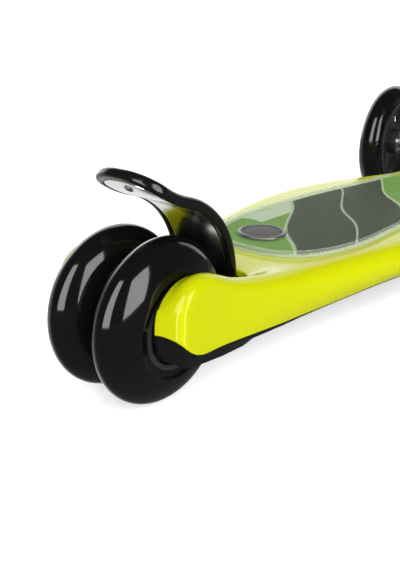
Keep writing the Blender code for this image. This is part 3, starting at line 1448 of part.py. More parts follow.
def make_brake():
    """The sprung fender that is trodden on to the wheels, with its wear plate."""
    fender = fender_body()
    edge = BRAKE_HALF_WIDTH - BRAKE_LIP_WIDTH
    pin_x, pin_z = rear(BRAKE_HINGE_X, BRAKE_HINGE_Z)
    barrel = cylinder("brake_barrel", BRAKE_BARREL_RADIUS,
                      (pin_x, -SLOT_HALF_WIDTH + TOUCH_GAP, pin_z),
                      (pin_x, BRAKE_HALF_WIDTH - STEP / 2, pin_z), segments=24)
    join(fender, barrel)
    cut(fender, *[tip_cutter(f"tip_cutter_{name}", side) for name, side in SIDES])
    reach = 2 * BRAKE_PIN_REACH
    cut(fender, cylinder("barrel_bore", BRAKE_PIN_RADIUS + TOUCH_GAP, (pin_x, -reach, pin_z),
                         (pin_x, reach, pin_z), segments=20))
    near = plate_inner()
    far = near + PLATE_THICKNESS
    half = edge - PLATE_SIDE_GAP
    plate = strip("brake_plate",
                  path_between(PLATE_START, path_length() - BRAKE_TIP_PAD - PLATE_SIDE_GAP),
                  near, far, -half, half, "polished_steel")
    for name, point in rivet_places():
        hole = cylinder(f"rivet_hole_{name}", RIVET_SHANK_RADIUS + TOUCH_GAP,
                        *rivet_line(point, -BRAKE_WEB, far + BRAKE_WEB), segments=10)
        cut(fender, hole)
        cut(plate, hole)
        low, high = -TOUCH_GAP, far + TOUCH_GAP
        rivet = cylinder(f"brake_rivet_{name}", RIVET_SHANK_RADIUS,
                         *rivet_line(point, low - RIVET_HEAD_HEIGHT / 2,
                                     high + RIVET_HEAD_HEIGHT / 2), "zinc_steel", 10)
        join(rivet, cylinder(f"rivet_foot_{name}", RIVET_HEAD_RADIUS,
                             *rivet_line(point, low - RIVET_HEAD_HEIGHT, low), segments=12),
             cylinder(f"rivet_head_{name}", RIVET_HEAD_RADIUS,
                      *rivet_line(point, high, high + RIVET_HEAD_HEIGHT), segments=12))


def make_brake_hinge():
    """The pin across the slot, and the return spring on it, left of the fender."""
    x, z = rear(BRAKE_HINGE_X, BRAKE_HINGE_Z)
    cylinder("brake_pin", BRAKE_PIN_RADIUS, (x, -BRAKE_PIN_REACH, z),
             (x, BRAKE_PIN_REACH, z), "zinc_steel", 16)
    start = BRAKE_HALF_WIDTH + TOUCH_GAP + SPRING_WIRE_RADIUS
    end = SLOT_HALF_WIDTH - TOUCH_GAP - SPRING_WIRE_RADIUS
    count = round(SPRING_TURNS * SPRING_POINTS_PER_TURN)
    points = [(x - SPRING_COIL_RADIUS, start, z + SPRING_LEG)]
    for i in range(count + 1):
        angle = math.pi + 2 * math.pi * i / SPRING_POINTS_PER_TURN
        points.append((x + SPRING_COIL_RADIUS * math.cos(angle),
                       start + (end - start) * i / count,
                       z + SPRING_COIL_RADIUS * math.sin(angle)))
    tail = points[-1]
    points.append((tail[0], tail[1], tail[2] + SPRING_LEG))
    wire("brake_spring", points, SPRING_WIRE_RADIUS, "zinc_steel")
    print(f"brake spring, least gap to itself: {1000 * self_gap(points):.2f} mm")


def self_gap(points):
    """The least clear space between turns of the spring, measured on its points."""
    far_apart = SPRING_POINTS_PER_TURN // 2
    least = min(math.dist(a, b) for i, a in enumerate(points)
                for b in points[i + far_apart:])
    return least - 2 * SPRING_WIRE_RADIUS


def main():
    make_deck_shell()
    make_lower_frame()
    make_deck_screws()
    make_pad()
    make_rear_wheels()
    make_rear_axle()
    make_brake()
    make_brake_hinge()
    make_front_housing()
    make_truck()
    make_lean_pivot()
    make_front_axles()
    make_front_wheels()
    make_column()
    make_height_clamp()
    make_release_button()
    make_handlebar()


main()
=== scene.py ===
"""Kick scooter that steers by leaning, seen from behind its twin rear wheel.

Units are metres. +X is forward, +Y is left and +Z is up, and the ground is z = 0.
Sizes along the deck are counted forward and up from the rear axle.
"""

import math

import bmesh
import bpy
from mathutils import Matrix, Vector


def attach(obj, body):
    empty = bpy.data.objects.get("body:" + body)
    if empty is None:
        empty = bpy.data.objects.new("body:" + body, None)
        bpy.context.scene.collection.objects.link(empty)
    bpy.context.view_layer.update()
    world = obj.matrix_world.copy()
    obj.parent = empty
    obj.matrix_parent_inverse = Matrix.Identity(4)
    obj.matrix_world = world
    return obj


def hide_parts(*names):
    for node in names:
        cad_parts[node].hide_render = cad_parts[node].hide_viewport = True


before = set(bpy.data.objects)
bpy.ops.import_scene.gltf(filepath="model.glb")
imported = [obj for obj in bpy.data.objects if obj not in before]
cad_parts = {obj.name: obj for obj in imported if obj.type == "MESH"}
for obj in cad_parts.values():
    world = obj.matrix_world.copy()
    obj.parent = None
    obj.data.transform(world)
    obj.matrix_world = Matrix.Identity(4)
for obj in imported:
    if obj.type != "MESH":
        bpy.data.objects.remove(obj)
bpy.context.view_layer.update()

# Deck shell
# One moulding of glossy lime plastic: the top and sides of the deck, and the covers of both
# arms beside the rear wheels. It is clipped over the black frame and screwed from below.

REAR_AXLE = Vector((-0.265, 0.0, 0.040))
ARM_HALF_WIDTH = 0.0400
DECK_HALF_WIDTH = 0.0745
NOSE_HALF_WIDTH = 0.0340
TAIL_X = -0.0180
TAIL_CORNER_X = -0.0104
TAIL_CORNER_RADIUS = 0.0050
TAIL_LEAN = math.radians(17)
TAIL_CREST_X = 0.0015
FLARE_START_X = 0.010
DECK_LEVEL_X = 0.050
DECK_WIDEST_X = 0.240
NOSE_RISE_X = 0.375
NOSE_X = 0.446
CREST_HEIGHT = 0.0246
TAIL_HEIGHT = 0.0070
DECK_TOP = 0.0105
NOSE_TOP = 0.0165
CROWN = 0.0027
CROWN_REAR_LENGTH = 0.012
CROWN_FADE_X = 0.005
RIDGE = 0.0162
RIDGE_START_X = 0.008
RIDGE_START_LENGTH = 0.010
RIDGE_END_X = 0.105
RIDGE_SOFTNESS = 0.0020
RIDGE_SOFT_X = 0.020
DISH_START_X = 0.040
DISH_END_X = 0.085
DISH_HALF_WIDTH = 0.012
DISH_MARGIN = 0.0005
SPLIT_TAIL = 0.0029
SPLIT_START_X = -0.0170
SPLIT_TURN_X = 0.0070
SPLIT_ARM = -0.0093
SPLIT_DROP = 2.8
SPLIT_BEND = 0.12
SPLIT_MIDDLE_X = 0.072
SPLIT_MIDDLE = -0.0153
SPLIT_STRAIGHT = 0.35
SPLIT_DECK_X = 0.170
SPLIT_DECK = -0.0110
SHELL_WALL = 0.0028
SHELL_INNER_SIDE = 1.4 * SHELL_WALL
SHELL_EDGE = 0.0005
SHOULDER = 0.0055
SHOULDER_FRONT = 0.0095
SHOULDER_MOST = 0.45
SIDE_TUCK = 0.0055
TUCK_START_X = 0.0175
TUCK_END_X = 0.085
SLOT_HALF_WIDTH = 0.0272
SLOT_FRONT_X = 0.0565
SLOT_CORNER = 0.0100
EDGE_ROUND = 0.0010
EDGE_STEPS = (0.7, 0.45, 0.22, 0.07)


def ease(t):
    """Runs from 0 to 1 with a soft start and end."""
    t = min(1.0, max(0.0, t))
    return t * t * (3 - 2 * t)


def blend(x, x0, x1, a, b):
    """Eases from a at x0 to b at x1."""
    return a + (b - a) * ease((x - x0) / (x1 - x0))


def half_width(x):
    """Half the deck's width: leaning arm end, round corner, straight arm, then the deck."""
    reach = TAIL_CORNER_X - x
    if reach > 0:
        tangent = TAIL_CORNER_RADIUS * math.cos(TAIL_LEAN)
        if reach < tangent:
            rest = math.sqrt(TAIL_CORNER_RADIUS ** 2 - reach ** 2)
            return ARM_HALF_WIDTH - TAIL_CORNER_RADIUS + rest
        side = TAIL_CORNER_RADIUS * (1 - math.sin(TAIL_LEAN))
        return ARM_HALF_WIDTH - side - (reach - tangent) / math.tan(TAIL_LEAN)
    if x <= DECK_WIDEST_X:
        return blend(x, FLARE_START_X, DECK_WIDEST_X, ARM_HALF_WIDTH, DECK_HALF_WIDTH)
    return blend(x, DECK_WIDEST_X, NOSE_X, DECK_HALF_WIDTH, NOSE_HALF_WIDTH)


def deck_top(x):
    """Height of the top along its middle, and along the arms' inner edges."""
    if x < TAIL_CREST_X:
        share = min(1.0, (TAIL_CREST_X - x) / (TAIL_CREST_X - TAIL_X))
        return TAIL_HEIGHT + (CREST_HEIGHT - TAIL_HEIGHT) * math.sqrt(1 - share ** 2)
    if x < DECK_LEVEL_X:
        return blend(x, TAIL_CREST_X, DECK_LEVEL_X, CREST_HEIGHT, DECK_TOP)
    return blend(x, NOSE_RISE_X, NOSE_X, DECK_TOP, NOSE_TOP)


def crown(x):
    """How much higher the top stands at its outer shoulder, which falls slowly forward."""
    rise = ease((x - TAIL_X) / CROWN_REAR_LENGTH)
    arm = CROWN * rise * (1 - ease((x - CROWN_FADE_X) / (DECK_LEVEL_X - CROWN_FADE_X)))
    ridge = DECK_TOP + RIDGE * max(0.0, 1 - x / RIDGE_END_X) ** 2 - deck_top(x)
    ridge = max(0.0, ridge) * ease((x - RIDGE_START_X) / RIDGE_START_LENGTH)
    soft = RIDGE_SOFTNESS * ease(x / RIDGE_SOFT_X)
    return (arm + ridge + math.hypot(arm - ridge, soft) - soft) / 2


def split_height(x):
    """Height of the lower edge, below which the black frame shows."""
    if x < SPLIT_TURN_X:
        share = max(0.0, (x - SPLIT_START_X) / (SPLIT_TURN_X - SPLIT_START_X))
        share *= (1 + SPLIT_BEND) * share / (share + SPLIT_BEND)
        return SPLIT_ARM + (SPLIT_TAIL - SPLIT_ARM) * (1 - share) ** SPLIT_DROP
    if x < SPLIT_MIDDLE_X:
        share = (x - SPLIT_TURN_X) / (SPLIT_MIDDLE_X - SPLIT_TURN_X)
        share = SPLIT_STRAIGHT * share + (1 - SPLIT_STRAIGHT) * ease(share)
        return SPLIT_ARM + (SPLIT_MIDDLE - SPLIT_ARM) * share
    return blend(x, SPLIT_MIDDLE_X, SPLIT_DECK_X, SPLIT_MIDDLE, SPLIT_DECK)


def side_tuck(x):
    """How far the side's lower edge is drawn in under its shoulder."""
    return blend(x, TUCK_START_X, TUCK_END_X, 0.0, SIDE_TUCK)


def shoulder_radius(x):
    """The top edge's roundness, no more than the height and the arm's end leave room for."""
    height = deck_top(x) + crown(x) - split_height(x)
    radius = blend(x, FLARE_START_X, TUCK_END_X, SHOULDER, SHOULDER_FRONT)
    return max(0.0, min(radius, SHOULDER_MOST * height, half_width(x) - slot_half(x)))


def slot_half(x):
    """Half the slot's width at a station, round at its front corners."""
    start = SLOT_FRONT_X - SLOT_CORNER
    if x <= start:
        return SLOT_HALF_WIDTH
    rest = max(0.0, SLOT_CORNER ** 2 - (x - start) ** 2)
    return SLOT_HALF_WIDTH - SLOT_CORNER + math.sqrt(rest)


def slot_distance(x, y):
    """How far a place on the top lies from the slot's edge."""
    start = SLOT_FRONT_X - SLOT_CORNER
    inner = SLOT_HALF_WIDTH - SLOT_CORNER
    if x <= start:
        return y - SLOT_HALF_WIDTH
    if y <= inner:
        return x - SLOT_FRONT_X
    return math.hypot(x - start, y - inner) - SLOT_CORNER


def rounding(distance, radius):
    """How far a rounded edge has dropped at a distance in from its rim."""
    if distance >= radius:
        return 0.0
    return radius - math.sqrt(radius ** 2 - (radius - max(0.0, distance)) ** 2)


def at(x, y, z):
    """A place counted forward and up from the rear axle."""
    return Vector((REAR_AXLE.x + x, y, REAR_AXLE.z + z))


def add_grid(bm, rows, wrap=False):
    """Faces between rows of equally many points, closed round where wrap is set."""
    made = [[bm.verts.new(point) for point in row] for row in rows]
    count = len(made[0])
    for a, b in zip(made, made[1:]):
        for i in range(count if wrap else count - 1):
            j = (i + 1) % count
            bm.faces.new((a[i], a[j], b[j], b[i]))
    return made


def stand(name, data):
    """Puts an object in the scene."""
    made = bpy.data.objects.new(name, data)
    bpy.context.scene.collection.objects.link(made)
    return made


def settle(name, bm, material, body, nodes=(), sharp=40):
    """Makes the piece, hides the frame's own nodes it stands for, and lets it ride."""
    bmesh.ops.remove_doubles(bm, verts=bm.verts, dist=0.000002)
    bmesh.ops.dissolve_degenerate(bm, edges=bm.edges, dist=0.000001)
    bmesh.ops.recalc_face_normals(bm, faces=bm.faces)
    mesh = bpy.data.meshes.new(name)
    bm.to_mesh(mesh)
    bm.free()
    mesh.shade_smooth()
    mesh.set_sharp_from_angle(angle=math.radians(sharp))
    mesh.materials.append(material)
    made = stand(name, mesh)
    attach(made, body)
    if nodes:
        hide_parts(*nodes)
    return made


def new_material(name):
    """A material with its nodes, its links and its main shader."""
    material = bpy.data.materials.new(name)
    material.use_nodes = True
    nodes = material.node_tree.nodes
    return material, nodes, material.node_tree.links, nodes["Principled BSDF"]


CLOUD_SCALE = 28.0
GRAIN_SCALE = 900.0
GRAIN_DEPTH = 0.0001


def finish(name, colour, roughness, metallic=0.0, drift=0.05, grain=0.0, specular=0.5, glow=0.0):
    """A surface whose colour and gloss drift a little, with a fine grain where it has one."""
    material, nodes, links, shader = new_material(name)
    shader.inputs["Metallic"].default_value = metallic
    shader.inputs["Specular IOR Level"].default_value = specular
    shader.inputs["Emission Color"].default_value = (1, 1, 1, 1)
    shader.inputs["Emission Strength"].default_value = glow
    place = nodes.new("ShaderNodeTexCoord")
    clouds = nodes.new("ShaderNodeTexNoise")
    clouds.inputs["Scale"].default_value = CLOUD_SCALE
    clouds.inputs["Detail"].default_value = 4.0
    links.new(place.outputs["Object"], clouds.inputs["Vector"])
    tint = nodes.new("ShaderNodeValToRGB")
    tint.color_ramp.elements[0].color = (*[c * (1 - drift) for c in colour], 1)
    tint.color_ramp.elements[1].color = (*[c * (1 + drift) for c in colour], 1)
    links.new(clouds.outputs["Fac"], tint.inputs["Fac"])
    links.new(tint.outputs["Color"], shader.inputs["Base Color"])
    gloss = nodes.new("ShaderNodeMapRange")
    gloss.inputs["To Min"].default_value = roughness * 0.8
    gloss.inputs["To Max"].default_value = roughness * 1.2
    links.new(clouds.outputs["Fac"], gloss.inputs["Value"])
    links.new(gloss.outputs["Result"], shader.inputs["Roughness"])
    if grain:
        fine = nodes.new("ShaderNodeTexNoise")
        fine.inputs["Scale"].default_value = GRAIN_SCALE
        fine.inputs["Detail"].default_value = 2.0
        links.new(place.outputs["Object"], fine.inputs["Vector"])
        bump = nodes.new("ShaderNodeBump")
        bump.inputs["Strength"].default_value = grain
        bump.inputs["Distance"].default_value = GRAIN_DEPTH
        links.new(fine.outputs["Fac"], bump.inputs["Height"])
        links.new(bump.outputs["Normal"], shader.inputs["Normal"])
    return material


def deck_side(x):
    """From under the lower edge, up the side and over the shoulder, as (y, z)."""
    width = half_width(x)
    crest = deck_top(x) + crown(x)
    split = split_height(x)
    shoulder = shoulder_radius(x)
    tuck = side_tuck(x)
    lower = SHELL_EDGE
    back = max(width - tuck - SHELL_WALL, slot_half(x) if x < SLOT_FRONT_X else 0.0)
    points = [(back, split + SHELL_WALL), (back, split)]
    for i in range(4):
        angle = math.radians(-90 + 30 * i)
        points.append((width - tuck - lower + lower * math.cos(angle),
                       split + lower + lower * math.sin(angle)))
    rise = crest - shoulder - split - lower
    for i in range(1, 9):
        share = i / 8
        points.append((width - tuck * (1 - share) ** 2, split + lower + rise * share))
    for i in range(1, 13):
        angle = math.radians(90 * i / 12)
        points.append((width - shoulder + shoulder * math.cos(angle),
                       crest - shoulder + shoulder * math.sin(angle)))
    return points


def top_height(x, y):
    """Height of the top, which is dished between its shoulders."""
    outer = half_width(x) - shoulder_radius(x)
    dish = blend(x, DISH_START_X, DISH_END_X, SLOT_HALF_WIDTH, DISH_HALF_WIDTH)
    dish = min(dish, outer - DISH_MARGIN)
    return deck_top(x) + crown(x) * ease((y - dish) / (outer - dish))


def deck_crest(x, inner):
    """From the shoulder in to the slot's edge or the middle part."""
    outer = half_width(x) - shoulder_radius(x)
    return [(y, top_height(x, y) - rounding(slot_distance(x, y), EDGE_ROUND))
            for y in rim_places(inner, outer)]


def rim_places(inner, outer):
    """Places from the shoulder in to the slot's edge, close together at the edge."""
    rounded = min(EDGE_ROUND, max(0.0, (outer - inner) / 2))
    found = [outer + (inner + rounded - outer) * i / 16 for i in range(1, 17)]
    return found + [inner + rounded * s for s in (*EDGE_STEPS, 0.0)]


def arm_stations():
    """Stations along the arm, the first where its leaning end meets the slot's wall."""
    side = ARM_HALF_WIDTH - TAIL_CORNER_RADIUS * (1 - math.sin(TAIL_LEAN))
    first = TAIL_CORNER_X - TAIL_CORNER_RADIUS * math.cos(TAIL_LEAN)
    first -= (side - SLOT_HALF_WIDTH) * math.tan(TAIL_LEAN)
    found = [first + (TAIL_CORNER_X - first) * (i / 20) ** 1.5 for i in range(21)]
    found += [TAIL_CORNER_X + (SLOT_FRONT_X - SLOT_CORNER - TAIL_CORNER_X) * i / 30
              for i in range(1, 31)]
    found += [SLOT_FRONT_X - SLOT_CORNER + SLOT_CORNER * math.sin(math.radians(9 * i))
              for i in range(1, 11)]
    return found


def make_deck_shell():
    """Both arms from their ends to the slot's front, then the deck to its nose."""
    bm = bmesh.new()
    for side in (-1, 1):
        rows = []
        for x in arm_stations():
            section = deck_side(x) + deck_crest(x, slot_half(x))
            inner = slot_half(x)
            low = max(section[-1][1] - SHELL_INNER_SIDE, split_height(x))
            section += [(inner, low), (min(inner + SHELL_WALL, half_width(x)), low)]
            rows.append([at(x, side * y, z) for y, z in section])
        add_grid(bm, rows)
        inner = SLOT_HALF_WIDTH - SLOT_CORNER
        steps = [SLOT_FRONT_X + EDGE_ROUND * s for s in (0, *reversed(EDGE_STEPS), 1.0)]
        steps += [SLOT_FRONT_X + (NOSE_X - SLOT_FRONT_X) * (0.01 + 0.99 * i / 60)
                  for i in range(1, 61)]
        rows = []
        for x in steps:
            section = deck_side(x) + deck_crest(x, inner)
            across = [inner * (1 - i / 8) for i in range(1, 9)]
            section += [(y, top_height(x, y) - rounding(x - SLOT_FRONT_X, EDGE_ROUND))
                        for y in across]
            rows.append([at(x, side * y, z) for y, z in section])
        add_grid(bm, rows)
        edge = deck_top(SLOT_FRONT_X) - EDGE_ROUND
        low = edge + EDGE_ROUND - SHELL_INNER_SIDE
        rows = [[at(SLOT_FRONT_X + back, side * inner * i / 8, z) for i in range(9)]
                for z, back in ((edge, 0), (low, 0), (low, SHELL_WALL))]
        add_grid(bm, rows)
    return bm


lime = finish("lime plastic", (0.345, 0.365, 0.001), 0.14, drift=0.015, specular=0.12)
deck_shell = settle("lime_deck_shell", make_deck_shell(), lime, "deck",
                    ["deck_shell"])

# Lower frame
# A black glass-filled nylon moulding inside the shell. Its arms carry the axle on thick soles,
# and its rolled lower edge shows as a dark line under the lime one, thinner towards the nose.


def cover(name, material):
    """Gives one of the frame's own nodes its finish."""
    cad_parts[name].data.materials.clear()
    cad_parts[name].data.materials.append(material)


black_gloss = finish("black moulding", (0.0035, 0.0035, 0.0035), 0.14, drift=0.1,
                     specular=0.25, grain=0.03)
cover("lower_frame", black_gloss)

BAND_START_X = -0.006
BAND_END_X = NOSE_X - 0.001
BAND_WIDTH = 0.0060
BAND_ROUND = 0.0008
BAND_INSET = 0.0004
BAND_OVERLAP = 0.0015
BAND_DEPTH_REAR = 0.0029
BAND_DEPTH_FRONT = 0.0010
BAND_TAPER_START_X = 0.024
BAND_TAPER_END_X = 0.110
bm = bmesh.new()
for side in (-1, 1):
    rows = []
    for i in range(81):
        x = BAND_START_X + (BAND_END_X - BAND_START_X) * i / 80
        outer = half_width(x) - side_tuck(x) - BAND_INSET
        inner = outer - BAND_WIDTH
        low = split_height(x) - blend(x, BAND_TAPER_START_X, BAND_TAPER_END_X, BAND_DEPTH_REAR,
                                      BAND_DEPTH_FRONT)
        high = split_height(x) + BAND_OVERLAP
        section = [(inner, high), (inner, low)]
        section += [(outer - BAND_ROUND * (1 - math.sin(math.radians(a))),
                     low + BAND_ROUND * (1 - math.cos(math.radians(a)))) for a in range(0, 91, 18)]
        section.append((outer, high))
        rows.append([at(x, side * y, z) for y, z in section])
    made = add_grid(bm, rows, wrap=True)
    bm.faces.new(made[0])
    bm.faces.new(made[-1])
settle("frame_lower_edge", bm, black_gloss, "deck")

# Rear wheels
# Each is a thick tread of black urethane, cast round a moulded nylon core and polished by
# its mould. Two run side by side on one bolt, with steel ball bearings in each core.

WHEEL_RADIUS = 0.040
WHEEL_WIDTH = 0.024
WHEEL_GAP = 0.0048
CORE_RADIUS = 0.0205
CORE_GAP = 0.0003
CORE_WEB = 0.004
CORE_RIM = 0.0025
HUB_RADIUS = 0.014
BEARING_RADIUS = 0.011
BEARING_SEAT = 0.0075
THROAT_RADIUS = 0.009
TREAD_DEPTH = 0.019
TREAD_ROUNDNESS = 1.95
TREAD_SIDE_ANGLE = 12.0
CORE_RECESS = 0.0012


def tread_profile(radius, width, depth, bore):
    """The tread across: round outside, a shallow dish in each side, and a straight bore."""
    half = width / 2
    power = 2 / TREAD_ROUNDNESS
    widest = math.cos(math.radians(TREAD_SIDE_ANGLE)) ** power
    points = []
    steps = 56
    for i in range(steps + 1):
        angle = math.radians(TREAD_SIDE_ANGLE + (180 - 2 * TREAD_SIDE_ANGLE) * i / steps)
        across = math.copysign(abs(math.cos(angle)) ** power / widest, math.cos(angle))
        points.append((radius - depth + depth * math.sin(angle) ** power, half * across))
    last = points[-1][0]
    dish = [(last - 0.0004, half - 0.0001), (last - 0.0009, half - 0.0005),
            (last - 0.0014, half - 0.0010), (last - 0.0022, half - CORE_RECESS),
            (bore, half - CORE_RECESS)]
    points += [(r, -y) for r, y in dish]
    points += [(r, y) for r, y in reversed(dish)]
    return points


def turn(bm, profile, centre, axis, steps=96, closed=True):
    """Turns (radius, along) points about an axis through a centre."""
    lie = Vector(axis).to_track_quat("Z", "Y").to_matrix()
    rows = []
    for i in range(steps):
        angle = 2 * math.pi * i / steps
        rows.append([Vector(centre) + lie @ Vector((r * math.cos(angle), r * math.sin(angle), z))
                     for r, z in profile])
    rows.append(rows[0])
    add_grid(bm, rows, wrap=closed)


def core_profile():
    """Half the core across: rim, web, hub and bearing seat, then the same mirrored."""
    half = WHEEL_WIDTH / 2
    seat = half - BEARING_SEAT
    face = half - CORE_RECESS
    rim = CORE_RADIUS - CORE_RIM
    up = [(CORE_RADIUS, face), (rim, face), (rim - 0.0003, face - 0.0004),
          (rim - 0.0008, CORE_WEB + 0.0006), (rim - 0.0016, CORE_WEB),
          (HUB_RADIUS + 0.0012, CORE_WEB), (HUB_RADIUS + 0.0003, CORE_WEB + 0.0006),
          (HUB_RADIUS, half - 0.0004), (HUB_RADIUS - 0.0004, half), (BEARING_RADIUS, half),
          (BEARING_RADIUS, seat), (THROAT_RADIUS, seat)]
    return up + [(r, -y) for r, y in reversed(up)]


urethane = finish("black urethane", (0.0025, 0.0025, 0.0022), 0.09, drift=0.1, specular=0.27)
nylon = finish("black nylon", (0.012, 0.012, 0.013), 0.42, drift=0.08, grain=0.25)
for name, side in (("right", -1), ("left", 1)):
    centre = at(0, side * (WHEEL_WIDTH + WHEEL_GAP) / 2, 0)
    bm = bmesh.new()
    turn(bm, tread_profile(WHEEL_RADIUS, WHEEL_WIDTH, TREAD_DEPTH, CORE_RADIUS + CORE_GAP),
         centre, (0, 1, 0), 144)
    settle(f"rear_tread_{name}", bm, urethane, f"rear_wheel_{name}",
           [f"rear_tyre_{name}"], 50)
    bm = bmesh.new()
    turn(bm, core_profile(), centre, (0, 1, 0))
    settle(f"rear_wheel_core_{name}", bm, nylon, f"rear_wheel_{name}",
           [f"rear_core_{name}"])

# Foot brake
# A strap of black nylon with rounded lips and a kicked up, D shaped tip. It turns on a pin
# across the slot, and the sole presses it down on both rear wheels.

HINGE = (0.0490, 0.0010)
ROOT_AHEAD = 0.0037
ROOT_UP = 0.0024
ROOT_HEADING = 94.0
ROOT_RISE = 0.0074
BOW_RADIUS = 0.0508
BOW_SWEEP = 71.0
KICK_RADIUS = 0.0576
KICK_SWEEP = 29.0
FENDER_HALF_WIDTH = 0.0200
FENDER_WEB = 0.0036
FENDER_RIM = 0.0054
LIP_WIDTH = 0.0042
LIP_START = 0.0100
LIP_RAMP = 0.0030
TIP_LENGTH = 0.0124
TIP_FLAT = 0.0020
TIP_POINT = 0.00001
STATION_GAP = 0.0002
OUTER_ROUND = 0.0026
INNER_ROUND = 0.0014
LIP_LEAST = 0.0004
HALF_WITH_LIPS = 0.0056
BARREL_RADIUS = 0.0046
BARREL_LEFT = 0.0198
BARREL_RIGHT = -0.0269
BARREL_EDGE = 0.0004
PIN_BORE_RADIUS = 0.0027


def fender_path(step=1.5):
    """The fender's outer line from the side, as (x, z, heading in degrees)."""
    x, z, heading = HINGE[0] + ROOT_AHEAD, HINGE[1] + ROOT_UP, ROOT_HEADING
    found = [(x, z, heading)]
    for length, sweep in ((ROOT_RISE, 0.0), (BOW_RADIUS * math.radians(BOW_SWEEP), BOW_SWEEP),
                          (KICK_RADIUS * math.radians(KICK_SWEEP), -KICK_SWEEP)):
        count = max(2, round(abs(sweep) / step))
        for _ in range(count):
            heading += sweep / count / 2
            x += length / count * math.cos(math.radians(heading))
            z += length / count * math.sin(math.radians(heading))
            heading += sweep / count / 2
            found.append((x, z, heading))
    return found


PATH = fender_path()
MARKS = [0.0]
for a, b in zip(PATH, PATH[1:]):
    MARKS.append(MARKS[-1] + math.hypot(b[0] - a[0], b[1] - a[1]))
PATH_LENGTH = MARKS[-1]


def beside_path(mark, y, depth):
    """A place on the wheels' side of the fender's outer line."""
    i = next((i for i in range(1, len(MARKS)) if mark <= MARKS[i]), len(MARKS) - 1)
    share = (mark - MARKS[i - 1]) / (MARKS[i] - MARKS[i - 1])
    x, z, heading = [p + (q - p) * share for p, q in zip(PATH[i - 1], PATH[i])]
    side = math.radians(heading + 90)
    return at(x + depth * math.cos(side), y, z + depth * math.sin(side))


def tip_half(mark):
    """Half the strap's width: straight, then half an oval."""
    share = 1 - (PATH_LENGTH - mark) / TIP_LENGTH
    wide = FENDER_HALF_WIDTH - TIP_FLAT
    return TIP_FLAT + wide * math.sqrt(max(0.0, 1 - max(0.0, share) ** 2))


def rim_distance(mark, y):
    """How far a place on the fender lies in from its rim."""
    along = max(0.0, 1 - (PATH_LENGTH - mark) / TIP_LENGTH)
    wide = FENDER_HALF_WIDTH - TIP_FLAT
    across = max(0.0, abs(y) - TIP_FLAT) / wide
    reach = math.hypot(along, across)
    if reach < 0.02:
        return wide
    slope = math.hypot(along / TIP_LENGTH, across / wide) / reach
    return max(0.0, (1 - reach) / slope)


def under_depth(mark, distance):
    """Depth of the underside: a lip that is round on both edges, then the web."""
    ramp = ease((mark - LIP_START) / LIP_RAMP)
    rim = FENDER_WEB + LIP_LEAST + (FENDER_RIM - FENDER_WEB - LIP_LEAST) * ramp
    if distance < LIP_WIDTH - INNER_ROUND:
        return rim - rounding(distance, INNER_ROUND)
    inner = min(INNER_ROUND, rim - FENDER_WEB)
    return max(FENDER_WEB, rim - rounding(max(0.0, LIP_WIDTH - distance), inner))


def strap_places(half):
    """Places across the strap, close together at its rounded edges."""
    near = [d / 1000 for d in (0, 0.05, 0.2, 0.45, 0.8, 1.2, 1.6, 2.0, 2.4, 2.6, 2.8, 3.0, 3.3,
                               3.6, 3.85, 4.05, 4.16, 4.2, 4.6)]
    share = min(1.0, half / HALF_WITH_LIPS)
    positive = [half - d * share for d in near]
    positive += [positive[-1] * (1 - i / 6) for i in range(1, 7)]
    return positive + [-y for y in reversed(positive[:-1])]


def close_end(bm, row):
    """Faces across the end of a row that runs over the top and back underneath."""
    count = len(row) // 2
    for i in range(count - 1):
        bm.faces.new((row[i], row[i + 1], row[-2 - i], row[-1 - i]))


def fender_body():
    """The strap from its root to its tip, and the barrel that turns on the pin."""
    bm = bmesh.new()
    steps = [PATH_LENGTH - TIP_LENGTH * (1 - math.sin(math.radians(90 * i / 36)))
             for i in range(36)] + [PATH_LENGTH - TIP_POINT]
    marks = [m for m in MARKS if m < steps[0] - STATION_GAP] + steps
    marks = sorted(marks + [LIP_START + LIP_RAMP * i / 6 for i in range(7)])
    rows = []
    for mark in marks:
        ys = strap_places(tip_half(mark))
        over = [beside_path(mark, y, rounding(rim_distance(mark, y), OUTER_ROUND)) for y in ys]
        under = [beside_path(mark, y, under_depth(mark, rim_distance(mark, y)))
                 for y in reversed(ys)]
        rows.append(over + under)
    made = add_grid(bm, rows, wrap=True)
    close_end(bm, made[0])
    close_end(bm, made[-1])
    barrel = [(BARREL_RADIUS, BARREL_RIGHT + BARREL_EDGE), (BARREL_RADIUS, BARREL_LEFT - BARREL_EDGE),
              (BARREL_RADIUS - BARREL_EDGE, BARREL_LEFT), (PIN_BORE_RADIUS, BARREL_LEFT),
              (PIN_BORE_RADIUS, BARREL_RIGHT), (BARREL_RADIUS - BARREL_EDGE, BARREL_RIGHT)]
    turn(bm, barrel, at(HINGE[0], 0, HINGE[1]), (0, 1, 0), 48)
    return bm


settle("foot_brake_strap", fender_body(), black_gloss, "brake",
       ["brake_fender"], 50)

# Brake plate
# A strip of polished stainless steel let in under the strap, between its lips. It takes the
# wear of the treads, and two domed rivets hold it.

PLATE_START = 0.0100
PLATE_DEPTH = FENDER_WEB + 0.0003
PLATE_THICKNESS = 0.0012
PLATE_INSET = LIP_WIDTH + 0.0001
PLATE_EDGE = 0.00025
PLATE_LEAST = 0.0004
RIVET_RADIUS = 0.0024
RIVET_RISE = 0.0007
RIVET_SHANK = 0.0012
RIVET_SINK = 0.0003
LOWER_RIVET = PLATE_START + 0.0060
UPPER_RIVET = PATH_LENGTH - 0.0100


def plate_half(mark):
    """Half the plate's width, which fills the strap up to its lip."""
    low, high = 0.0, tip_half(mark)
    for _ in range(30):
        middle = (low + high) / 2
        if rim_distance(mark, middle) > PLATE_INSET:
            low = middle
        else:
            high = middle
    return low


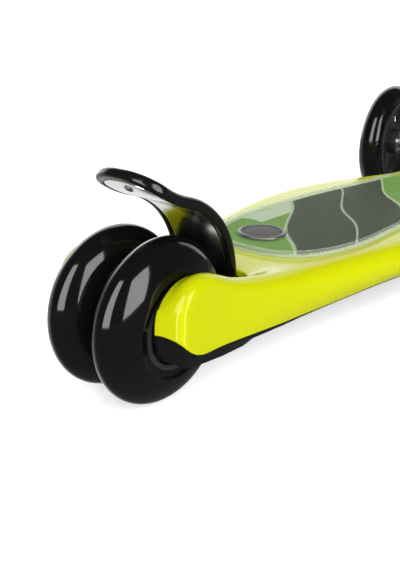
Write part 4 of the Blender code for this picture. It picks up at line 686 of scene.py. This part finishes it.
polished = finish("polished steel", (0.70, 0.70, 0.69), 0.17, metallic=1.0, drift=0.02)
zinc = finish("zinc plated steel", (0.52, 0.52, 0.53), 0.30, metallic=1.0, drift=0.08,
              grain=0.1)
bm = bmesh.new()
steps = [PATH_LENGTH - PLATE_INSET - (TIP_LENGTH - PLATE_INSET) * (1 - math.sin(math.radians(a)))
         for a in range(0, 90, 5)] + [PATH_LENGTH - PLATE_INSET - TIP_POINT]
marks = [PLATE_START] + [m for m in MARKS if PLATE_START < m < steps[0] - STATION_GAP] + steps
rows = []
for mark in marks:
    edge = PLATE_EDGE
    near, far = PLATE_DEPTH, PLATE_DEPTH + PLATE_THICKNESS
    wide = max(PLATE_LEAST, plate_half(mark))
    half = [wide - edge] + [(wide - edge) * (1 - i / 6) for i in range(1, 7)]
    ys = half + [-y for y in reversed(half[:-1])]
    under = [(wide, far - edge)] + [(y, far) for y in ys] + [(-wide, far - edge)]
    over = [(-wide, near + edge)] + [(-y, near) for y in ys] + [(wide, near + edge)]
    rows.append([beside_path(mark, y, depth) for y, depth in under + over])
made = add_grid(bm, rows, wrap=True)
close_end(bm, made[0])
close_end(bm, made[-1])
settle("brake_wear_plate", bm, polished, "brake", ["brake_plate"], 30)

for name, mark in (("lower", LOWER_RIVET), ("upper", UPPER_RIVET)):
    start = beside_path(mark, 0, -RIVET_SINK)
    end = beside_path(mark, 0, PLATE_DEPTH + PLATE_THICKNESS + RIVET_SINK)
    length = (end - start).length
    dome = [(0.0, -RIVET_RISE), (0.0012, -RIVET_RISE * 0.86), (0.0020, -RIVET_RISE * 0.5),
            (RIVET_RADIUS, 0.0)]
    profile = dome + [(RIVET_SHANK, 0.0), (RIVET_SHANK, length)]
    profile += [(r, length - z) for r, z in reversed(dome)]
    bm = bmesh.new()
    turn(bm, profile, start, end - start, 36, closed=False)
    settle(f"domed_rivet_{name}", bm, zinc, "brake", [f"brake_rivet_{name}"], 35)

# Standing mat
# A soft clear mat is glued on the deck. Its rim is grained like cut glass and its middle is
# smooth, and a film printed in green and grey is laid under it.

PAD_REAR_X = 0.0850
PAD_WIDEST_X = 0.1650
PAD_NARROW_FROM_X = 0.2050
PAD_FRONT_X = 0.3680
PAD_HALF_WIDTH = 0.0465
PAD_FRONT_HALF_WIDTH = 0.0330
PAD_FRONT_CORNER = 0.0180
PAD_END_LENGTH_POWER = 0.90
PAD_END_WIDTH_POWER = 0.72
PAD_THICKNESS = 0.0026
PAD_RIM = 0.0040
PAD_GAP = 0.0003
FILM_THICKNESS = 0.0004


def pad_outline(inset):
    """The mat's plan: a blunt round rear end, a wide middle and a narrower front."""
    reach = PAD_WIDEST_X - PAD_REAR_X - inset
    half = []
    for i in range(41):
        angle = math.radians(90 * i / 40)
        half.append((PAD_WIDEST_X - reach * math.cos(angle) ** PAD_END_LENGTH_POWER,
                     (PAD_HALF_WIDTH - inset) * math.sin(angle) ** PAD_END_WIDTH_POWER))
    corner_x = PAD_FRONT_X - PAD_FRONT_CORNER
    for i in range(1, 13):
        x = PAD_NARROW_FROM_X + (corner_x - PAD_NARROW_FROM_X) * i / 12
        half.append((x, blend(x, PAD_NARROW_FROM_X, PAD_FRONT_X, PAD_HALF_WIDTH,
                              PAD_FRONT_HALF_WIDTH) - inset))
    end_y = half[-1][1]
    radius = PAD_FRONT_CORNER - inset
    for i in range(1, 13):
        angle = math.radians(90 - 90 * i / 12)
        half.append((corner_x + radius * math.cos(angle),
                     end_y - radius + radius * math.sin(angle)))
    return half + [(x, -y) for x, y in reversed(half) if y > 0.00001]


def layers(levels, capped=True):
    """A body through outlines of the mat, each drawn in by an inset and at a height."""
    bm = bmesh.new()
    rows = [[at(x, y, z) for x, y in pad_outline(inset)] for inset, z in levels]
    made = add_grid(bm, rows, wrap=True)
    if capped:
        bm.faces.new(made[0])
        bm.faces.new(made[-1])
    return bm


MAT_CLOUD = (0.55, 0.60, 0.45, 1)
MAT_TINT = (0.92, 0.95, 0.90, 1)
MAT_GRAIN_SCALE = 520.0
MAT_GRAIN_DEPTH = 0.0006


def clear_mat(name, cloud, haze, sparkle):
    """Clear plastic, clouded a little more at a slant; its grain catches light in points."""
    material, nodes, links, shader = new_material(name)
    shader.inputs["Base Color"].default_value = MAT_CLOUD
    shader.inputs["Roughness"].default_value = 0.25
    shader.inputs["Specular IOR Level"].default_value = 0.25
    clear = nodes.new("ShaderNodeBsdfTransparent")
    clear.inputs["Color"].default_value = MAT_TINT
    place = nodes.new("ShaderNodeTexCoord")
    cells = nodes.new("ShaderNodeTexVoronoi")
    cells.inputs["Scale"].default_value = MAT_GRAIN_SCALE
    links.new(place.outputs["Object"], cells.inputs["Vector"])
    bump = nodes.new("ShaderNodeBump")
    bump.inputs["Strength"].default_value = sparkle
    bump.inputs["Distance"].default_value = MAT_GRAIN_DEPTH
    links.new(cells.outputs["Distance"], bump.inputs["Height"])
    links.new(bump.outputs["Normal"], shader.inputs["Normal"])
    slant = nodes.new("ShaderNodeLayerWeight")
    slant.inputs["Blend"].default_value = 0.25
    links.new(bump.outputs["Normal"], slant.inputs["Normal"])
    amount = nodes.new("ShaderNodeMapRange")
    amount.inputs["To Min"].default_value = cloud
    amount.inputs["To Max"].default_value = haze
    links.new(slant.outputs["Fresnel"], amount.inputs["Value"])
    mix = nodes.new("ShaderNodeMixShader")
    links.new(amount.outputs["Result"], mix.inputs["Fac"])
    links.new(clear.outputs["BSDF"], mix.inputs[1])
    links.new(shader.outputs["BSDF"], mix.inputs[2])
    links.new(mix.outputs["Shader"], nodes["Material Output"].inputs["Surface"])
    return material


FILM_GREEN = (0.135, 0.255, 0.055)
FILM_DARK = (0.036, 0.036, 0.035)
FILM_PALE = (0.42, 0.45, 0.36)
FILM_GREY = (0.36, 0.36, 0.34)
FILM_WEDGE = (0.45, 0.47, 0.42, 1)
FILM_BANDS = ((0.0, FILM_GREEN), (0.330, FILM_GREEN), (0.333, FILM_PALE), (0.338, FILM_PALE),
              (0.341, FILM_DARK), (0.52, FILM_DARK), (0.523, FILM_GREY), (0.527, FILM_GREY),
              (0.530, FILM_DARK), (0.70, FILM_DARK), (0.703, FILM_PALE), (0.708, FILM_PALE),
              (0.711, FILM_GREEN), (1.0, FILM_GREEN))
FILM_LENGTH = 0.400
WAVES_PER_METRE = 110.0
WAVE_START = 1.0
WAVE_HEIGHT = 0.0050
LINE_SLANT = -1.6
WEDGE_BEYOND_Y = 0.026
WEDGE_FROM_X = 0.138
WEDGE_TO_BAND = 0.330


def printed_film(name):
    """Green at the rear and dark grey ahead, parted by pale wavy lines, with a pale wedge."""
    material, nodes, links, shader = new_material(name)
    shader.inputs["Roughness"].default_value = 0.6
    shader.inputs["Specular IOR Level"].default_value = 0.0
    place = nodes.new("ShaderNodeTexCoord")
    split = nodes.new("ShaderNodeSeparateXYZ")
    links.new(place.outputs["Object"], split.inputs["Vector"])

    def work(kind, a, b, c=0.0):
        """One step of sums, fed by numbers or by other steps."""
        node = nodes.new("ShaderNodeMath")
        node.operation = kind
        for socket, value in zip(node.inputs, (a, b, c)):
            if isinstance(value, float):
                socket.default_value = value
            else:
                links.new(value, socket)
        return node.outputs["Value"]

    angle = work("MULTIPLY_ADD", split.outputs["Y"], WAVES_PER_METRE, WAVE_START)
    wavy = work("MULTIPLY_ADD", work("SINE", angle, 0.0), WAVE_HEIGHT, split.outputs["X"])
    ahead = work("MULTIPLY_ADD", split.outputs["Y"], LINE_SLANT, wavy)
    along = nodes.new("ShaderNodeMapRange")
    along.inputs["From Min"].default_value = REAR_AXLE.x
    along.inputs["From Max"].default_value = REAR_AXLE.x + FILM_LENGTH
    links.new(ahead, along.inputs["Value"])
    ground = nodes.new("ShaderNodeValToRGB")
    ramp = ground.color_ramp
    while len(ramp.elements) < len(FILM_BANDS):
        ramp.elements.new(0.5)
    for element, (position, colour) in zip(ramp.elements, FILM_BANDS):
        element.position = position
        element.color = (*colour, 1)
    links.new(along.outputs["Result"], ground.inputs["Fac"])
    beyond = work("GREATER_THAN", split.outputs["Y"], WEDGE_BEYOND_Y)
    behind = work("LESS_THAN", along.outputs["Result"], WEDGE_TO_BAND)
    before = work("GREATER_THAN", wavy, REAR_AXLE.x + WEDGE_FROM_X)
    wedge = work("MULTIPLY", beyond, work("MULTIPLY", behind, before))
    mix = nodes.new("ShaderNodeMix")
    mix.data_type = "RGBA"
    mix.inputs["B"].default_value = FILM_WEDGE
    links.new(wedge, mix.inputs["Factor"])
    links.new(ground.outputs["Color"], mix.inputs["A"])
    links.new(mix.outputs["Result"], shader.inputs["Base Color"])
    return material


base = DECK_TOP + PAD_GAP
top = base + PAD_THICKNESS
bm = layers([(PAD_RIM - PAD_GAP, base + FILM_THICKNESS + PAD_GAP), (PAD_RIM - PAD_GAP, base),
             (0.0, base), (0.0, top - 0.0008), (0.00025, top - 0.0003), (0.0008, top),
             (PAD_RIM, top)], capped=False)
settle("mat_rim", bm, clear_mat("grained clear rim", 0.20, 0.7, 0.9), "deck", sharp=50)
bm = layers([(PAD_RIM, top - 0.0004), (PAD_RIM, top)])
settle("clear_standing_mat", bm, clear_mat("clear mat", 0.0, 0.07, 0.05), "deck",
       ["grip_pad"], 50)
bm = layers([(PAD_RIM, base), (PAD_RIM, base + FILM_THICKNESS)])
settle("printed_sheet", bm, printed_film("printed film"), "deck",
       ["printed_film"], 30)

# Badge
# A plain oval badge is let into the mat's top: a dull silver rim round a dark dome, which is
# left bare. It is a small moulded plate, glued in.

BADGE_X = 0.1180
BADGE_Y = 0.0100
BADGE_LENGTH = 0.0310
BADGE_WIDTH = 0.0290
BADGE_THICKNESS = 0.0012
BADGE_FACE = 0.86

badge_dark = finish("dark badge", (0.050, 0.050, 0.046), 0.45, drift=0.25, specular=0.03)
badge_silver = finish("badge rim", (0.14, 0.14, 0.13), 0.45, metallic=1.0, drift=0.1)
low = top - BADGE_THICKNESS
for name, material, steps, nodes in (
        ("oval_badge_rim", badge_silver,
         ((BADGE_FACE, low), (1.0, low), (1.0, top - 0.0002), (0.97, top + 0.0001),
          (0.93, top + 0.0003), (0.88, top + 0.0002), (BADGE_FACE, top), (BADGE_FACE, low)), ()),
        ("plain_oval_badge", badge_dark,
         ((0.0, low), (BADGE_FACE, low), (BADGE_FACE, top), (0.80, top - 0.0001),
          (0.62, top + 0.0001), (0.35, top + 0.0003), (0.0, top + 0.0003)), ["oval_badge"])):
    bm = bmesh.new()
    rows = []
    for share, z in steps:
        rows.append([at(BADGE_X + share * BADGE_LENGTH / 2 * math.cos(2 * math.pi * i / 64),
                        BADGE_Y + share * BADGE_WIDTH / 2 * math.sin(2 * math.pi * i / 64), z)
                     for i in range(64)])
    add_grid(bm, rows, wrap=True)
    settle(name, bm, material, "deck", nodes, 60)

# Hardware
# Bolts, nuts, pins, screws, springs and bearings are zinc plated steel, turned or coiled. The
# truck beam, bushes, clamp, lever, spoked cores and hub caps are moulded in black nylon. All
# of them keep the shapes of the frame's own nodes.

ZINC_WORDS = ("bolt", "nut", "pin", "screw", "spring", "bearing", "spacer", "clip", "button")
NYLON_WORDS = ("bush", "truck", "clamp", "lever", "core", "hub_cap")
for name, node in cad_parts.items():
    if node.hide_render:
        continue
    for material, words in ((zinc, ZINC_WORDS), (nylon, NYLON_WORDS)):
        if any(word in name for word in words):
            cover(name, material)
            break

# Front wheels
# Larger wheels, one at each end of the truck beam. A thin urethane tread is cast round a
# spoked nylon core, which a domed cap closes.

FRONT_AXLE = Vector((0.245, 0.0, 0.060))
FRONT_SPACING = 0.200
FRONT_RADIUS = 0.060
FRONT_WIDTH = 0.024
FRONT_CORE_RADIUS = 0.046
FRONT_TREAD_DEPTH = 0.011
for name, side in (("right", -1), ("left", 1)):
    centre = FRONT_AXLE + Vector((0, side * FRONT_SPACING / 2, 0))
    bm = bmesh.new()
    turn(bm, tread_profile(FRONT_RADIUS, FRONT_WIDTH, FRONT_TREAD_DEPTH,
                           FRONT_CORE_RADIUS + CORE_GAP), centre, (0, 1, 0), 144)
    settle(f"front_tread_{name}", bm, urethane, f"front_wheel_{name}",
           [f"front_tyre_{name}"], 50)

# Column and handlebar
# Two satin anodised aluminium tubes slide in each other, and a third one crosses the black
# tee at their top. The ribbed grips are soft rubber, pushed on over the cross tube's ends.

COLUMN_FOOT = Vector((0.203, 0.0, 0.060))
COLUMN_LEAN = math.radians(8)
LOWER_TUBE_RADIUS = 0.0150
LOWER_TUBE_WALL = 0.0016
LOWER_TUBE_ENDS = (0.0140, 0.4300)
INNER_TUBE_RADIUS = 0.0120
INNER_TUBE_WALL = 0.0014
INNER_TUBE_ENDS = (0.1900, 0.6250)
BAR_HEIGHT = 0.6400
BAR_LENGTH = 0.3000
BAR_RADIUS = 0.0110
BAR_WALL = 0.0014
TUBE_EDGE = 0.0004
GRIP_LENGTH = 0.1050
GRIP_RADIUS = 0.0155
GRIP_FLANGE_RADIUS = 0.0200
GRIP_FLANGE_WIDTH = 0.0050
GRIP_END_WALL = 0.0040
GRIP_END_ROUND = 0.0030
GRIP_BORE = BAR_RADIUS + 0.0001
RIBS_START = 0.0060
RIB_PITCH = 0.0042
RIB_GROOVE = 0.0006
RIBS = 20


def tube_profile(radius, wall, start, end):
    """A tube's wall from end to end, its outer edges broken."""
    return [(radius, start + TUBE_EDGE), (radius, end - TUBE_EDGE), (radius - TUBE_EDGE, end),
            (radius - wall, end), (radius - wall, start), (radius - TUBE_EDGE, start)]


def grip_profile():
    """From the closed end over the ribs to the flange, and back inside to the tube's end."""
    end, inner = GRIP_END_WALL, GRIP_END_WALL - GRIP_LENGTH
    points = [(0.0, end), (GRIP_RADIUS - 0.0040, end)]
    points += [(GRIP_RADIUS - GRIP_END_ROUND + GRIP_END_ROUND * math.sin(math.radians(a)),
                end - GRIP_END_ROUND + GRIP_END_ROUND * math.cos(math.radians(a)))
               for a in range(15, 91, 15)]
    for i in range(RIBS):
        start = end - RIBS_START - RIB_PITCH * i
        points += [(GRIP_RADIUS - 0.0001, start), (GRIP_RADIUS - RIB_GROOVE, start - 0.0004),
                   (GRIP_RADIUS - RIB_GROOVE, start - 0.0011), (GRIP_RADIUS - 0.0001, start - 0.0015),
                   (GRIP_RADIUS, start - 0.0028)]
    flange = inner + GRIP_FLANGE_WIDTH
    points += [(GRIP_RADIUS, flange + 0.0020), (GRIP_RADIUS + 0.0006, flange + 0.0006),
               (GRIP_RADIUS + 0.0020, flange), (GRIP_FLANGE_RADIUS - 0.0008, flange - 0.0002),
               (GRIP_FLANGE_RADIUS, flange - 0.0012), (GRIP_FLANGE_RADIUS, inner + 0.0010),
               (GRIP_FLANGE_RADIUS - 0.0010, inner), (GRIP_BORE, inner), (GRIP_BORE, 0.0001),
               (0.0, 0.0001)]
    return points


satin = finish("satin aluminium", (0.42, 0.43, 0.44), 0.20, metallic=1.0, drift=0.04)
rubber = finish("grip rubber", (0.010, 0.010, 0.010), 0.55, drift=0.1, grain=0.3, specular=0.2)
column_up = Vector((-math.sin(COLUMN_LEAN), 0, math.cos(COLUMN_LEAN)))
bar_middle = COLUMN_FOOT + BAR_HEIGHT * column_up
lower = tube_profile(LOWER_TUBE_RADIUS, LOWER_TUBE_WALL, *LOWER_TUBE_ENDS)
inner = tube_profile(INNER_TUBE_RADIUS, INNER_TUBE_WALL, *INNER_TUBE_ENDS)
cross = tube_profile(BAR_RADIUS, BAR_WALL, -BAR_LENGTH / 2, BAR_LENGTH / 2)
for name, profile, middle, axis, body, node in (
        ("lower_column_tube", lower, COLUMN_FOOT, column_up, "deck", "lower_tube"),
        ("inner_column_tube", inner, COLUMN_FOOT, column_up, "upper_column", "inner_tube"),
        ("bar_cross_tube", cross, bar_middle, (0, 1, 0), "upper_column", "handlebar_tube")):
    bm = bmesh.new()
    turn(bm, profile, middle, axis, 64)
    settle(name, bm, satin, body, [node], 50)
for name, side in (("right", -1), ("left", 1)):
    bm = bmesh.new()
    turn(bm, grip_profile(), bar_middle + Vector((0, side * BAR_LENGTH / 2, 0)), (0, side, 0), 72,
         closed=False)
    settle(f"ribbed_grip_{name}", bm, rubber, "upper_column", [f"grip_{name}"], 50)
for name, material in (("bar_tee", black_gloss), ("centring_rubber_lower", rubber),
                       ("centring_rubber_upper", rubber), ("front_housing", black_gloss)):
    cover(name, material)

# Floor and backdrop
# A white painted floor, lit a little from within so that it stays white beyond the lamps, and
# a white backdrop that rises round it in one sweep. Only the camera sees the backdrop.

WHITE = (0.80, 0.80, 0.80)
FLOOR_RADIUS = 30.0
BACKDROP_SWEEP = ((5.0, -0.001), (5.4, 0.02), (5.8, 0.1), (6.1, 0.25), (6.3, 0.5), (6.4, 0.9),
                  (6.4, 30.0))


def painted(name, bm, paint):
    """A smooth surface of the room in its paint."""
    mesh = bpy.data.meshes.new(name)
    bm.to_mesh(mesh)
    bm.free()
    mesh.shade_smooth()
    mesh.materials.append(paint)
    return stand(name, mesh)


bm = bmesh.new()
bmesh.ops.create_circle(bm, cap_ends=True, segments=96, radius=FLOOR_RADIUS)
floor = painted("floor", bm, finish("white floor", WHITE, 0.6, drift=0.004, specular=0.1, glow=0.45))
floor.visible_glossy = False
bm = bmesh.new()
turn(bm, BACKDROP_SWEEP, (0, 0, 0), (0, 0, 1), 96, closed=False)
backdrop = painted("backdrop", bm, finish("white backdrop", WHITE, 0.6, drift=0.004, specular=0.0,
                                          glow=1.0))
backdrop.visible_glossy = False
backdrop.visible_diffuse = False
backdrop.visible_transmission = False
backdrop.visible_shadow = False

# Light
# Two tall softboxes behind the scooter and a wide pale window ahead of it show as reflections
# alone, and two low ones reflect in the lime shell only. Two broad fills and a dim room, pale
# on its far side, give the light itself.

SOFTBOXES = (("left softbox", (-171, 34, 1, 57, 1.6, 11.0)),
             ("right softbox", (-95, 36, 1, 46, 1.6, 11.0)),
             ("window", (40, 100, -2, 42, 3.0, 1.8)))
LOW_GLOWS = (("left low glow", (-171, 14, -55, 6, 1.6, 13.0)),
             ("right low glow", (-97, 14, -55, 6, 1.6, 13.0)))
FILLS = (("near fill", -126, 30, 6.1), ("far fill", 54, 40, 1.5))
FILL_SPREAD = math.radians(75)
ROOM_LOW = (0.20, 0.20, 0.20, 1)
ROOM_HIGH = (0.10, 0.10, 0.10, 1)
ROOM_PALE = (0.95, 0.95, 0.95, 1)
ROOM_HIGH_FROM = 0.04
PALE_SIDE = (0.30, 0.92, -0.25)
PALE_FROM = 0.62
PALE_FULL = 0.80


def softbox(name, azimuth, spread, low, high, distance, radiance):
    """A tall softbox that fills a patch of the view from the rear wheels."""
    way = math.radians(azimuth)
    wide = 2 * distance * math.tan(math.radians(spread / 2))
    base_height = distance * math.tan(math.radians(low))
    tall = distance * math.tan(math.radians(high)) - base_height
    light = bpy.data.lights.new(name, "AREA")
    light.shape = "RECTANGLE"
    light.size = wide
    light.size_y = tall
    light.energy = radiance * math.pi * wide * tall
    lamp = stand(name, light)
    place = REAR_AXLE + Vector((distance * math.cos(way), distance * math.sin(way),
                                base_height + tall / 2))
    look = Vector((REAR_AXLE.x - place.x, REAR_AXLE.y - place.y, 0))
    turned = look.to_track_quat("-Z", "Y").to_matrix().to_4x4()
    lamp.matrix_world = Matrix.Translation(place) @ turned
    lamp.visible_diffuse = False
    return lamp


for name, box in SOFTBOXES:
    softbox(name, *box)
lime_only = bpy.data.collections.new("lime only")
lime_only.objects.link(deck_shell)
for name, box in LOW_GLOWS:
    softbox(name, *box).light_linking.receiver_collection = lime_only
for name, azimuth, elevation, strength in FILLS:
    light = bpy.data.lights.new(name, "SUN")
    light.angle = FILL_SPREAD
    light.energy = strength
    lamp = stand(name, light)
    way = math.radians(azimuth)
    high = math.radians(elevation)
    look = Vector((-math.cos(way) * math.cos(high), -math.sin(way) * math.cos(high),
                   -math.sin(high)))
    lamp.rotation_euler = look.to_track_quat("-Z", "Y").to_euler()
    lamp.visible_glossy = False

world = bpy.data.worlds.new("room")
bpy.context.scene.world = world
world.use_nodes = True
nodes = world.node_tree.nodes
links = world.node_tree.links
room = nodes["Background"]
sky = nodes.new("ShaderNodeTexCoord")
parts = nodes.new("ShaderNodeSeparateXYZ")
links.new(sky.outputs["Generated"], parts.inputs["Vector"])
height = nodes.new("ShaderNodeValToRGB")
ramp = height.color_ramp
ramp.elements[0].position = 0.0
ramp.elements[0].color = ROOM_LOW
ramp.elements[1].position = ROOM_HIGH_FROM
ramp.elements[1].color = ROOM_HIGH
links.new(parts.outputs["Z"], height.inputs["Fac"])
across = nodes.new("ShaderNodeVectorMath")
across.operation = "DOT_PRODUCT"
across.inputs[1].default_value = PALE_SIDE
links.new(sky.outputs["Generated"], across.inputs[0])
far_side = nodes.new("ShaderNodeMapRange")
far_side.inputs["From Min"].default_value = PALE_FROM
far_side.inputs["From Max"].default_value = PALE_FULL
links.new(across.outputs["Value"], far_side.inputs["Value"])
both = nodes.new("ShaderNodeMix")
both.data_type = "RGBA"
both.inputs["B"].default_value = ROOM_PALE
links.new(far_side.outputs["Result"], both.inputs["Factor"])
links.new(height.outputs["Color"], both.inputs["A"])
links.new(both.outputs["Result"], room.inputs["Color"])
world.cycles.sampling_method = "NONE"

# Camera
# It stands low behind the right rear corner and looks down a little along the deck, with a
# lens that frames the rear half as the photo does.

LENS_LENGTH = 40.70
LENS_FRAME = 36.0
LENS_NEAREST = 0.01
CAMERA_PLACE = Vector((-0.4664, -0.1965, 0.1615))
CAMERA_RIGHT = Vector((0.629385, -0.776617, 0.027211))
CAMERA_UP = Vector((0.261122, 0.244339, 0.933870))
lens = bpy.data.cameras.new("camera")
lens.lens = LENS_LENGTH
lens.sensor_width = LENS_FRAME
lens.clip_start = LENS_NEAREST
camera = stand("camera", lens)
turned = Matrix((CAMERA_RIGHT, CAMERA_UP, CAMERA_RIGHT.cross(CAMERA_UP))).transposed()
camera.matrix_world = Matrix.Translation(CAMERA_PLACE) @ turned.to_4x4()
bpy.context.scene.camera = camera
bpy.context.scene.view_settings.view_transform = "Standard"
